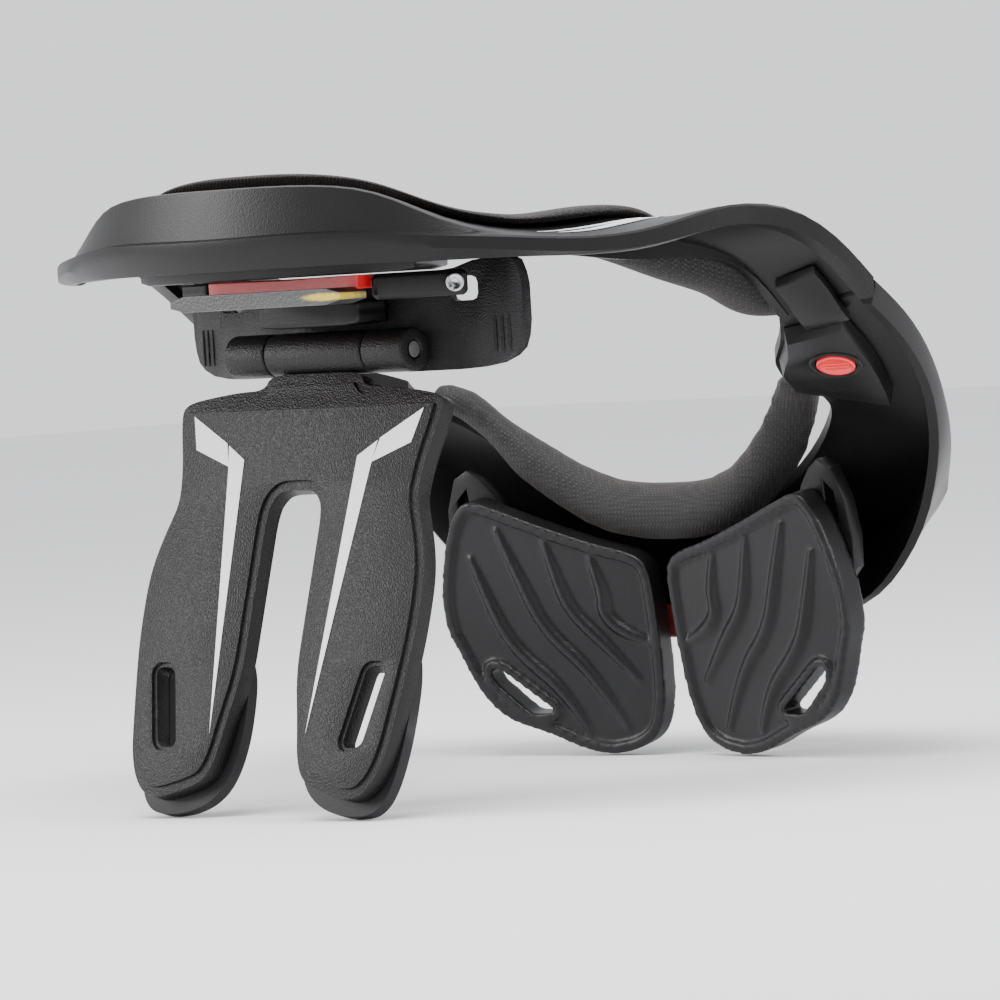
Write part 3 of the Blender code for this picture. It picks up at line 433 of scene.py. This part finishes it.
# %% Floor and lamps
deselect_all()
bpy.ops.mesh.primitive_plane_add(size=8.0)
floor = bpy.context.object
floor.name = "studio_floor"
floor_paint = bpy.data.materials.new("studio_floor")
floor_paint.use_nodes = True
floor_shader = floor_paint.node_tree.nodes["Principled BSDF"]
floor_shader.inputs["Base Color"].default_value = (0.86, 0.86, 0.87, 1.0)
floor_shader.inputs["Roughness"].default_value = 0.9
floor.data.materials.append(floor_paint)

world = bpy.data.worlds.new("studio")
world.use_nodes = True
world.node_tree.nodes["Background"].inputs["Color"].default_value = (0.93, 0.94, 0.96, 1.0)
world.node_tree.nodes["Background"].inputs["Strength"].default_value = 1.35
bpy.context.scene.world = world

LAMPS = (
    ("lamp_above", (0.15, -0.35, 1.15), 0.8, 16.0),
    ("lamp_left", (-0.95, -0.95, 0.55), 0.6, 13.0),
    ("lamp_right", (1.25, 0.10, 0.75), 0.5, 11.0),
)
for name, at, size, power in LAMPS:
    lamp = bpy.data.lights.new(name, "AREA")
    lamp.size = size
    lamp.energy = power
    holder = bpy.data.objects.new(name, lamp)
    holder.location = at
    aim = Vector((0.0, 0.0, 0.10)) - Vector(at)
    holder.rotation_euler = aim.to_track_quat("-Z", "Y").to_euler()
    bpy.context.scene.collection.objects.link(holder)
print("lamps", len(LAMPS))

# %% [markdown]
# ## The hard ring: table and front half
# On the real brace these are two injection-moulded shells with crisp but rounded edges. The CAD
# solids have the right form in coarse facets. A copy of each is welded, its sharp edges are
# rounded, and one round of subdivision makes the sweep round the ring smooth.

# %% Table and front shell
table = copy_node("rear_table", "table_shell")
round_edges(table, 0.0007)
subdivide(table, 1)
pick(table)
bpy.ops.object.shade_smooth_by_angle(angle=math.radians(38))
place(table, "rear", satin_shell, "moulded_plastic", "rear_table")
print("table shell faces", len(table.data.polygons))

shell = copy_node("front_chassis", "front_shell")
round_edges(shell, 0.0007)
subdivide(shell, 1)
pick(shell)
bpy.ops.object.shade_smooth_by_angle(angle=math.radians(38))
place(shell, "front", satin_shell, "moulded_plastic", "front_chassis")
print("front shell faces", len(shell.data.polygons))


# %% [markdown]
# ## Padding under cloth
# The neck pad and the collar are foam under a fine black weave. Cloth simulation blows a slightly
# smaller copy of each solid up against its own skin, which gives it the soft crown of a stuffed
# piece. A cap keeps every point near the solid, so the pad stays clear of the shell. The collar is
# remeshed first. The neck pad has edges thinner than a voxel, so it is subdivided instead.

# %% Inflate a pad
def limit_moves(piece, before, cap):
    """Pull back each vertex that moved further than the cap."""
    for vertex, start in zip(piece.data.vertices, before):
        move = vertex.co - start
        if move.length > cap:
            vertex.co = start + move * (cap / move.length)


def inflate(piece, voxel, shrink, cap, frames=20):
    """Shrink, remesh evenly or subdivide, swell by simulation, cap the swelling and smooth."""
    pick(piece)
    bpy.ops.object.mode_set(mode="EDIT")
    bpy.ops.mesh.select_all(action="SELECT")
    bpy.ops.transform.shrink_fatten(value=-shrink)
    bpy.ops.object.mode_set(mode="OBJECT")
    if voxel:
        remesh = piece.modifiers.new("Even", "REMESH")
        remesh.mode = "VOXEL"
        remesh.voxel_size = voxel
        apply_all(piece)
    else:
        subdivide(piece, 2)
    before = [v.co.copy() for v in piece.data.vertices]
    cloth = piece.modifiers.new("Cloth", "CLOTH")
    cloth.settings.use_pressure = True
    cloth.settings.uniform_pressure_force = 4.0
    cloth.settings.effector_weights.gravity = 0.0
    cloth.point_cache.frame_start = 1
    cloth.point_cache.frame_end = frames
    for step in range(1, frames + 1):
        bpy.context.scene.frame_set(step)
    apply_all(piece)
    limit_moves(piece, before, cap)
    bpy.context.scene.frame_set(1)
    soften = piece.modifiers.new("Soften", "SMOOTH")
    soften.iterations = 3
    soften.factor = 0.5
    subdivide(piece, 1)
    pick(piece)
    bpy.ops.object.shade_smooth()
    return piece


# %% Neck pad and collar
neck_pad = inflate(copy_node("rear_neck_pad", "neck_pad_cover"), 0.0, 0.0001, 0.0006)
place(neck_pad, "rear", black_cloth, "woven_fabric", "rear_neck_pad")
collar = inflate(copy_node("front_collar_pad", "collar_cover"), 0.0030, 0.0016, 0.0022)
place(collar, "front", black_cloth, "woven_fabric", "front_collar_pad")
print("pad faces", len(neck_pad.data.polygons), len(collar.data.polygons))


# %% [markdown]
# ## Flat pieces with smooth outlines
# The CAD outlines of the strut, its foot pads and the chest pads are polygons. Here the same
# corner points are softened by cutting each corner twice, so the silhouettes come out as smooth
# as moulded edges, and a filled 2D curve turns each outline with its holes into a slab.

# %% Outlines, as shares of half width and length
STRUT_SIZE = (0.059, 0.1459)
STRUT_HALF = (
    (0.0, 0.0487), (0.33, 0.0487), (0.360, 0.082), (0.560, 0.084), (0.860, 0.100),
    (0.930, 0.112), (0.945, 0.130), (0.920, 0.180), (0.885, 0.235), (0.865, 0.290),
    (0.865, 0.330), (0.920, 0.385), (0.960, 0.430), (0.990, 0.480), (1.000, 0.540),
    (0.995, 0.640), (0.965, 0.740), (0.945, 0.800), (0.920, 0.870), (0.870, 0.925),
    (0.790, 0.962), (0.700, 0.972), (0.600, 0.966), (0.420, 0.946), (0.340, 0.925),
    (0.290, 0.880), (0.262, 0.820), (0.195, 0.700), (0.195, 0.346), (0.146, 0.315),
    (0.088, 0.305),
)
STRAP_HOLE = ((0.0382, -0.013), (0.0462, -0.013), (0.0462, 0.013), (0.0382, 0.013))
FOOT_HALF = (
    (0.900, 0.640), (0.945, 0.700), (0.950, 0.780), (0.940, 0.860), (0.905, 0.935),
    (0.850, 0.978), (0.760, 1.000), (0.560, 1.000), (0.380, 0.975), (0.270, 0.930),
    (0.215, 0.850), (0.215, 0.760), (0.240, 0.690), (0.320, 0.640),
)
CHEST_SIZE = (0.087, 0.08744)
CHEST_HALF = (
    (0.816, 1.000), (0.682, 0.955), (0.483, 0.882), (0.264, 0.811), (0.138, 0.783),
    (0.062, 0.748), (0.038, 0.674), (0.042, 0.438), (0.053, 0.291), (0.064, 0.206),
    (0.106, 0.088), (0.184, 0.030), (0.328, 0.000), (0.460, 0.026), (0.592, 0.084),
    (0.778, 0.139), (0.866, 0.217), (0.920, 0.314), (0.960, 0.416), (0.996, 0.486),
    (1.000, 0.611), (0.972, 0.731), (0.932, 0.851), (0.884, 0.943),
)
CHEST_HOLE = ((0.575, 0.166), (0.678, 0.166), (0.822, 0.291), (0.834, 0.343), (0.788, 0.343),
              (0.563, 0.177))


def soften(points, reach, rounds=2):
    """Cut every corner of a closed outline, a few times over."""
    for step in range(rounds):
        after = []
        for (ax, ay), (bx, by) in zip(points, points[1:] + points[:1]):
            length = max(math.hypot(bx - ax, by - ay), 1e-9)
            cut = min(0.25, reach / (2 ** step) / length)
            after.append((ax + (bx - ax) * cut, ay + (by - ay) * cut))
            after.append((bx - (bx - ax) * cut, by - (by - ay) * cut))
        points = after
    return points


def inset_outline(points, distance):
    """Move a closed outline inwards by a distance, or outwards by a negative one."""
    pairs = list(zip(points, points[1:] + points[:1]))
    area = sum(ax * by - bx * ay for (ax, ay), (bx, by) in pairs)
    sign = 1.0 if area > 0 else -1.0
    normals = []
    for (ax, ay), (bx, by) in pairs:
        length = max(math.hypot(bx - ax, by - ay), 1e-9)
        normals.append((-(by - ay) * sign / length, (bx - ax) * sign / length))
    moved = []
    for (x, y), before, after in zip(points, normals[-1:] + normals[:-1], normals):
        nx, ny = before[0] + after[0], before[1] + after[1]
        length = max(math.hypot(nx, ny), 1e-9)
        moved.append((x + nx / length * distance, y + ny / length * distance))
    return moved


def flat_piece(name, outlines, thickness, matrix):
    """A slab from closed 2D outlines, placed by a matrix, as a welded mesh at the origin."""
    curve = bpy.data.curves.new(name, "CURVE")
    curve.dimensions = "2D"
    curve.fill_mode = "BOTH"
    curve.extrude = thickness / 2
    for outline in outlines:
        spline = curve.splines.new("POLY")
        spline.points.add(len(outline) - 1)
        for point, (x, y) in zip(spline.points, outline):
            point.co = (x, y, 0.0, 1.0)
        spline.use_cyclic_u = True
    piece = bpy.data.objects.new(name, curve)
    bpy.context.scene.collection.objects.link(piece)
    pick(piece)
    bpy.ops.object.convert(target="MESH")
    piece = bpy.context.object
    piece.data.transform(matrix)
    bpy.ops.object.mode_set(mode="EDIT")
    bpy.ops.mesh.select_all(action="SELECT")
    bpy.ops.mesh.remove_doubles(threshold=0.00001)
    bpy.ops.mesh.normals_make_consistent(inside=False)
    bpy.ops.object.mode_set(mode="OBJECT")
    return piece


def frame_at(right, up, back, origin):
    """A matrix from three directions and a place."""
    return Matrix.Translation(origin) @ Matrix((right, up, back)).transposed().to_4x4()


def strap_hole(side, wider=0.0):
    """The leaning slot in one leg of the strut, widened towards the middle."""
    lean = side * math.radians(13)
    down = 0.775 * STRUT_SIZE[1]
    hole = []
    for out, along in STRAP_HOLE:
        out -= wider if out < 0.04 else 0.0
        hole.append((side * out + along * math.sin(lean), along * math.cos(lean) - down))
    return soften(hole, 0.0016)


print("outline points", len(STRUT_HALF), len(FOOT_HALF), len(CHEST_HALF))

# %% [markdown]
# ## Ribbed chest pads
# Each pad is one moulding of soft foam: a raised bead runs round the edge and round the strap
# hole, and four stepped chevrons cross the face. The beads are thin rings between an outline and
# the same outline moved inwards, and the chevrons are round bars laid along the face. A voxel
# remesh then melts them and the pad into one skin, as in the mould.

# %% Chest pads
RIBS = (
    ((0.0265, 0.0665), (0.0228, 0.0545), (0.0245, 0.0475), (0.0166, 0.0405), (0.0070, 0.0375)),
    ((0.0435, 0.0725), (0.0400, 0.0570), (0.0360, 0.0475), (0.0250, 0.0370), (0.0140, 0.0245)),
    ((0.0615, 0.0770), (0.0550, 0.0600), (0.0480, 0.0420), (0.0320, 0.0280), (0.0215, 0.0090)),
    ((0.0735, 0.0680), (0.0675, 0.0490), (0.0610, 0.0360), (0.0430, 0.0210), (0.0370, 0.0080)),
)
RIB_RADIUS = 0.0024
CHEST_THICKNESS = 0.0085
BEAD_RISE = 0.0015


def bar_along(name, points, radius, taper=0.5):
    """A round bar with thinner ends through some points, as a mesh."""
    curve = bpy.data.curves.new(name, "CURVE")
    curve.dimensions = "3D"
    curve.bevel_depth = radius
    curve.bevel_resolution = 3
    curve.use_fill_caps = True
    curve.resolution_u = 8
    spline = curve.splines.new("NURBS")
    spline.points.add(len(points) - 1)
    for point, at in zip(spline.points, points):
        point.co = (*at, 1.0)
    spline.points[0].radius = taper
    spline.points[-1].radius = taper
    spline.order_u = 3
    spline.use_endpoint_u = True
    piece = bpy.data.objects.new(name, curve)
    bpy.context.scene.collection.objects.link(piece)
    pick(piece)
    bpy.ops.object.convert(target="MESH")
    return bpy.context.object


def join(pieces, name):
    """Join several meshes into the first."""
    deselect_all()
    for piece in pieces:
        piece.select_set(True)
    bpy.context.view_layer.objects.active = pieces[0]
    bpy.ops.object.join()
    pieces[0].name = name
    return pieces[0]


for side, label in ((-1, "left"), (1, "right")):
    rear = Vector((CHEST_REAR.x * side, CHEST_REAR.y, CHEST_REAR.z))
    right = Vector((1.0, -CHEST_SWEEP * side, 0.0)).normalized()
    up = right.cross(rear) * -1.0
    origin = Vector((0.0, CHEST_FORWARD, 0.0))
    outlines = []
    for shape, reach in ((CHEST_HALF, 0.004), (CHEST_HOLE, 0.0012)):
        places = [chest_point(x * CHEST_SIZE[0], z * CHEST_SIZE[1], 0.0, side) - origin
                  for x, z in shape]
        outlines.append(soften([(at.dot(right), at.dot(up)) for at in places], reach))
    slab_depth = CHEST_THICKNESS - BEAD_RISE
    pad = flat_piece("chest_pad_" + label + "_foam", outlines, slab_depth,
                     frame_at(right, up, rear, origin - rear * (CHEST_THICKNESS - slab_depth / 2)))
    round_edges(pad, 0.0016, 3)
    beads = []
    for index, (outline, width) in enumerate(zip(outlines, (0.0034, -0.0026))):
        bead = flat_piece(f"bead_{index}_{label}", [outline, inset_outline(outline, width)],
                          2 * BEAD_RISE, frame_at(right, up, rear, origin - rear * BEAD_RISE))
        beads.append(round_edges(bead, 0.0009, 3))
    bars = []
    for index, rib in enumerate(RIBS):
        path = [chest_point(x, z, -0.0018, side) for x, z in rib]
        bars.append(bar_along(f"rib_{index}_{label}", path, RIB_RADIUS))
    pad = join([pad, *beads, *bars], "chest_pad_" + label + "_foam")
    melt = pad.modifiers.new("Melt", "REMESH")
    melt.mode = "VOXEL"
    melt.voxel_size = 0.0008
    soft = pad.modifiers.new("Soft", "SMOOTH")
    soft.iterations = 3
    soft.factor = 0.5
    apply_all(pad)
    pick(pad)
    bpy.ops.object.shade_smooth()
    place(pad, "front", ribbed_foam, "ribbed_foam", "chest_pad_" + label)
    print("chest pad", label, "faces", len(pad.data.polygons))

# %% [markdown]
# ## The two-legged strut
# The strut is a stippled plate with a raised face: a lower margin about 3 mm wide runs round the
# outline and the long slot, and a narrower one round the strap slots. A second slab with its
# outline moved in makes the raised face, and both get rounded edges.

# %% Strut plate, knuckles and foot pads
STRUT_HALF_THICKNESS = 0.00275
FOOT_THICKNESS = 0.0040
FOOT_PROUD = -0.00505
PANEL_RISE = 0.0010
half = [(x * STRUT_SIZE[0], -y * STRUT_SIZE[1]) for x, y in STRUT_HALF]
outline = half + [(-x, y) for x, y in reversed(half) if x > 0]
outlines = [soften(outline, 0.0040), strap_hole(-1), strap_hole(1)]
strut = flat_piece("strut_shell", outlines, 2 * STRUT_HALF_THICKNESS,
                   frame_at(Vector((1, 0, 0)), STRUT_UP, STRUT_REAR, HINGE))
round_edges(strut, 0.0008, 2)
panel_lines = [inset_outline(outlines[0], 0.0030)]
panel_lines += [inset_outline(hole, -0.0014) for hole in outlines[1:]]
panel = flat_piece(
    "strut_panel", panel_lines, 2 * PANEL_RISE,
    frame_at(Vector((1, 0, 0)), STRUT_UP, STRUT_REAR, strut_point(0, 0, STRUT_HALF_THICKNESS)))
round_edges(panel, 0.0006, 2)
strut = join([strut, panel], "strut_shell")
place(strut, "strut", stippled_shell, "moulded_plastic", "strut_plate")
print("strut faces", len(strut.data.polygons))

for node, body in (("strut_knuckle", "strut"), ("hinge_knuckle_left", "rear"),
                   ("hinge_knuckle_right", "rear")):
    knuckle = round_edges(copy_node(node, node + "_barrel"), 0.0007, 3)
    place(knuckle, body, stippled_shell, "moulded_plastic", node)
for side, label in ((-1, "left"), (1, "right")):
    outline = [(side * x * STRUT_SIZE[0], -y * STRUT_SIZE[1]) for x, y in FOOT_HALF]
    foot = flat_piece(
        "foot_" + label, [soften(outline, 0.0050), strap_hole(side, 0.013)], FOOT_THICKNESS,
        frame_at(Vector((1, 0, 0)), STRUT_UP, STRUT_REAR, strut_point(0.0, 0.0, FOOT_PROUD)))
    round_edges(foot, 0.0013, 3)
    place(foot, "strut", foot_rubber, "foot_rubber", "strut_pad_" + label)


# %% [markdown]
# ## White stripes on the strut
# The stripes are thin prints. Each is a flat patch laid a tenth of a millimetre over the raised
# face, so its edges stay sharp at any distance.

# %% Strut stripes
def patch(name, corners):
    """A flat patch with its corners at given points, one tenth of a millimetre thick."""
    deselect_all()
    bpy.ops.mesh.primitive_circle_add(vertices=len(corners), radius=0.01, fill_type="NGON")
    piece = bpy.context.object
    piece.name = name
    for vertex, corner in zip(piece.data.vertices, corners):
        vertex.co = corner
    thick = piece.modifiers.new("Thickness", "SOLIDIFY")
    thick.thickness = 0.00012
    thick.offset = 0.0
    apply_all(piece)
    pick(piece)
    bpy.ops.object.mode_set(mode="EDIT")
    bpy.ops.mesh.select_all(action="SELECT")
    bpy.ops.mesh.normals_make_consistent(inside=False)
    bpy.ops.object.mode_set(mode="OBJECT")
    return piece


PRINT_PROUD = STRUT_HALF_THICKNESS + PANEL_RISE + 0.00012
FLASH = ((0.0490, 0.0198), (0.0458, 0.0307), (0.0305, 0.0365), (0.0327, 0.0289))
BLADE = ((0.0242, 0.0344), (0.0318, 0.0296), (0.0303, 0.0381), (0.0205, 0.1216))
stripes = []
for side, label in ((-1, "left"), (1, "right")):
    for name, shape in (("flash", FLASH), ("blade", BLADE)):
        corners = [strut_point(side * out, down, PRINT_PROUD) for out, down in shape]
        stripe = patch(f"strut_{name}_{label}", corners)
        place(stripe, "strut", white_print, "moulded_plastic")
        stripes.append(stripe)
print("strut stripes", len(stripes))

# %% [markdown]
# ## Hinge plate, bracket and adjuster
# Under the table a stippled plate carries the hinge. Behind it sits the adjuster: a level bracket,
# a glossy red clip with a black stop at one end and a slanting arm at the other, a grey bar, and
# a small wedge that sets the strut's angle.

# %% Hinge plate and bracket
PLATE_REAR = -0.0749
PLATE_CURVE = 0.007
PLATE_HALF_WIDTH = 0.0705
PLATE_RIB_RADIUS = 0.0008
plate = copy_node("hinge_plate", "hinge_plate_shell")
round_edges(plate, 0.0010, 3)
ribs = []
for x in (-0.0655, -0.0630, -0.0605, 0.0605, 0.0630, 0.0655):
    face_y = PLATE_REAR + PLATE_CURVE * (x / PLATE_HALF_WIDTH) ** 2
    path = [Vector((x, face_y, z)) for z in (0.1385, 0.1440, 0.1500)]
    ribs.append(bar_along(f"plate_rib_{int(10000 * x)}", path, PLATE_RIB_RADIUS))
plate = join([plate, *ribs], "hinge_plate_shell")
place(plate, "rear", stippled_shell, "moulded_plastic", "hinge_plate")
bracket = round_edges(copy_node("adjuster_bracket", "bracket_shell"), 0.0006)
place(bracket, "rear", satin_shell, "moulded_plastic", "adjuster_bracket")


# %% Adjuster bars
def bar_from_box(name, node, cuts, shape, bevel):
    """A cube at a node's box, cut along x, with each row of vertices scaled by shape(share)."""
    low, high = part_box(node)
    deselect_all()
    bpy.ops.mesh.primitive_cube_add(size=1.0, location=(low + high) / 2)
    piece = bpy.context.object
    piece.name = name
    piece.scale = high - low
    settle(piece)
    bpy.ops.object.mode_set(mode="EDIT")
    bpy.ops.mesh.select_all(action="SELECT")
    bpy.ops.mesh.subdivide(number_cuts=cuts)
    bpy.ops.object.mode_set(mode="OBJECT")
    middle = (low + high) / 2
    for vertex in piece.data.vertices:
        share = 2 * (vertex.co.x - middle.x) / (high.x - low.x)
        deep, tall = shape(share)
        vertex.co.y = middle.y + (vertex.co.y - middle.y) * deep
        vertex.co.z = middle.z + (vertex.co.z - middle.z) * tall
    round_edges(piece, bevel, 3, 50)
    return piece


ARM_TURN = math.radians(46)
ARM_FACE = Vector((math.sin(ARM_TURN), -math.cos(ARM_TURN), 0.0))
clip = bar_from_box("red_clip", "adjuster_clip", 11,
                    lambda s: (0.92, 1.0 if abs(s) > 0.6 else 0.82 + 0.18 * abs(s) / 0.6), 0.0012)
place(clip, "rear", glossy_red, "red_plastic", "adjuster_clip")
bar = bar_from_box("grey_bar", "adjuster_bar", 11,
                   lambda s: (1.0, 1.0 if abs(s) < 0.9 else 0.45), 0.0005)
place(bar, "rear", grey_bar, "grey_plastic", "adjuster_bar")
wedge = bar_from_box("wedge_block", "angle_wedge", 5,
                     lambda s: (1.0, 1.0 if abs(s) < 0.7 else 0.86), 0.0012)
place(wedge, "rear", satin_shell, "moulded_plastic", "angle_wedge")

stop = bar_from_box("stop_block", "adjuster_stop", 5, lambda s: (1.0, 1.0), 0.0008)
place(stop, "rear", satin_shell, "moulded_plastic", "adjuster_stop")
arm = round_edges(copy_node("adjuster_arm", "arm_shell"), 0.0010, 3)
place(arm, "rear", satin_shell, "moulded_plastic", "adjuster_arm")
screw = round_edges(copy_node("adjuster_screw", "arm_screw"), 0.0003)
select_facing(screw, ARM_FACE, 0.97)
bpy.ops.mesh.dissolve_limited(angle_limit=math.radians(2))
bpy.ops.mesh.inset(thickness=0.0011, depth=0.0)
bpy.ops.mesh.inset(thickness=0.0001, depth=-0.0006)
bpy.ops.object.mode_set(mode="OBJECT")
place(screw, "rear", steel, "steel", "adjuster_screw")

# %% [markdown]
# ## Closures on the shoulders
# Each shoulder has a housing under the band with a round red button in it. The button is a
# turned disc with three fine ridges across its face, in a shallow raised ring.

# %% Buttons and housings
PRESS = (0.2039, 0.4221, 0.8834)
BUTTON_RADIUS = 0.0062
BUTTON_DEPTH = 0.0030
LINE_REACH = 0.0042
for side, label in ((-1, "left"), (1, "right")):
    housing = round_edges(copy_node("closure_housing_" + label, "housing_" + label), 0.0006)
    place(housing, "front", satin_shell, "moulded_plastic", "closure_housing_" + label)
    low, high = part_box("button_" + label)
    press = Vector((-side * PRESS[0], PRESS[1], PRESS[2])).normalized()
    turn = press.to_track_quat("Z", "Y").to_matrix().to_4x4()
    deselect_all()
    bpy.ops.mesh.primitive_cylinder_add(
        vertices=64, radius=BUTTON_RADIUS, depth=BUTTON_DEPTH)
    button = bpy.context.object
    button.name = "red_button_" + label
    select_facing(button, Vector((0, 0, -1)), 0.97)
    bpy.ops.mesh.inset(thickness=0.0012, depth=0.0)
    bpy.ops.mesh.inset(thickness=0.0004, depth=-0.0002)
    bpy.ops.object.mode_set(mode="OBJECT")
    round_edges(button, 0.0005, 3)
    lines = []
    for offset in (-0.0019, 0.0, 0.0019):
        half = math.sqrt(LINE_REACH ** 2 - offset ** 2)
        ends = [Vector((-half, offset, -0.0014)), Vector((0, offset, -0.0014)),
                Vector((half, offset, -0.0014))]
        lines.append(bar_along(f"button_line_{label}_{int(offset * 1e4)}", ends, 0.0004))
    button = join([button, *lines], "red_button_" + label)
    button.data.transform(Matrix.Translation((low + high) / 2) @ turn)
    place(button, "button_" + label, glossy_red, "red_plastic", "button_" + label)
    deselect_all()
    bpy.ops.mesh.primitive_torus_add(
        major_segments=64, minor_segments=10, major_radius=0.0078, minor_radius=0.0007)
    rim = bpy.context.object
    rim.name = "button_rim_" + label
    face = (low + high) / 2 - press * 0.0007
    rim.data.transform(Matrix.Translation(face) @ turn)
    pick(rim)
    bpy.ops.object.shade_smooth()
    place(rim, "front", satin_shell, "moulded_plastic")

# %% [markdown]
# ## Small parts that keep their CAD shape
# The carriers, the tongues, the pins, the clip between the pads and the knuckles of the closure
# have the right shape already. Those in sight get rounded edges, and the pins only a finish.

# %% Remaining pieces
for node, body, mat, width in (
    ("pad_carrier_left", "front", satin_shell, 0.0009),
    ("pad_carrier_right", "front", satin_shell, 0.0009),
    ("front_clip", "front", dark_red, 0.0004),
    ("closure_tongue_left", "rear", satin_shell, 0.0004),
    ("closure_tongue_right", "rear", satin_shell, 0.0004),
    ("rear_closure_knuckle", "rear", satin_shell, 0.0004),
    ("front_closure_knuckle", "front", satin_shell, 0.0004),
):
    slot = "red_plastic" if node == "front_clip" else "moulded_plastic"
    place(round_edges(copy_node(node, node + "_shell"), width), body, mat, slot, node)
for node in ("hinge_pin", "closure_pin"):
    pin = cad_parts[node]
    pin.data.materials.clear()
    pin.data.materials.append(steel)

# %% [markdown]
# ## White stripes on the shoulders
# Two white wedges run forward along each shoulder beside the pad. A narrow strip of faces follows
# the ring above the deck and is dropped straight down onto it with a Shrinkwrap modifier, so it
# follows every curve of the shell.

# %% Shoulder stripes
def deck_stripe(name, rows, side, target):
    """A strip through rows of (angle, outer inset, inner inset), dropped onto a shell."""
    deselect_all()
    steps = 8 * (len(rows) - 1)
    bpy.ops.mesh.primitive_grid_add(x_subdivisions=steps, y_subdivisions=3, size=1.0)
    piece = bpy.context.object
    piece.name = name
    for vertex in piece.data.vertices:
        along = min((vertex.co.x + 0.5) * (len(rows) - 1), len(rows) - 1.0001)
        low, high = rows[int(along)], rows[int(along) + 1]
        share = along - int(along)
        angle, outer, inner = (a + (b - a) * share for a, b in zip(low, high))
        inset = outer + (inner - outer) * (vertex.co.y + 0.5)
        vertex.co = ring_point(angle, inset, 0.22, side)
    drop = piece.modifiers.new("Drop", "SHRINKWRAP")
    drop.wrap_method = "PROJECT"
    drop.target = target
    drop.use_project_z = True
    drop.use_negative_direction = True
    drop.use_positive_direction = False
    drop.offset = 0.00025
    drop.wrap_mode = "ABOVE_SURFACE"
    apply_all(piece)
    thick = piece.modifiers.new("Thickness", "SOLIDIFY")
    thick.thickness = 0.00012
    thick.offset = 0.0
    apply_all(piece)
    pick(piece)
    bpy.ops.object.mode_set(mode="EDIT")
    bpy.ops.mesh.select_all(action="SELECT")
    bpy.ops.mesh.normals_make_consistent(inside=False)
    bpy.ops.object.mode_set(mode="OBJECT")
    bpy.ops.object.shade_smooth_by_angle(angle=math.radians(60))
    return piece


LOWER_STRIPE = ((48.6, 0.0150, 0.0154), (53.5, 0.0155, 0.0190), (60.8, 0.0205, 0.0267),
                (67.0, 0.0250, 0.0300), (73.0, 0.0290, 0.0310))
UPPER_STRIPE = ((45.7, 0.0163, 0.0167), (50.4, 0.0200, 0.0222), (57.8, 0.0240, 0.0267),
                (63.0, 0.0280, 0.0300))
for side, label in ((-1, "left"), (1, "right")):
    for name, rows in (("lower", LOWER_STRIPE), ("upper", UPPER_STRIPE)):
        stripe = deck_stripe(f"deck_stripe_{name}_{label}", rows, side, table)
        place(stripe, "rear", white_print, "moulded_plastic")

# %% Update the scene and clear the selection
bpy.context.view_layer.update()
deselect_all()
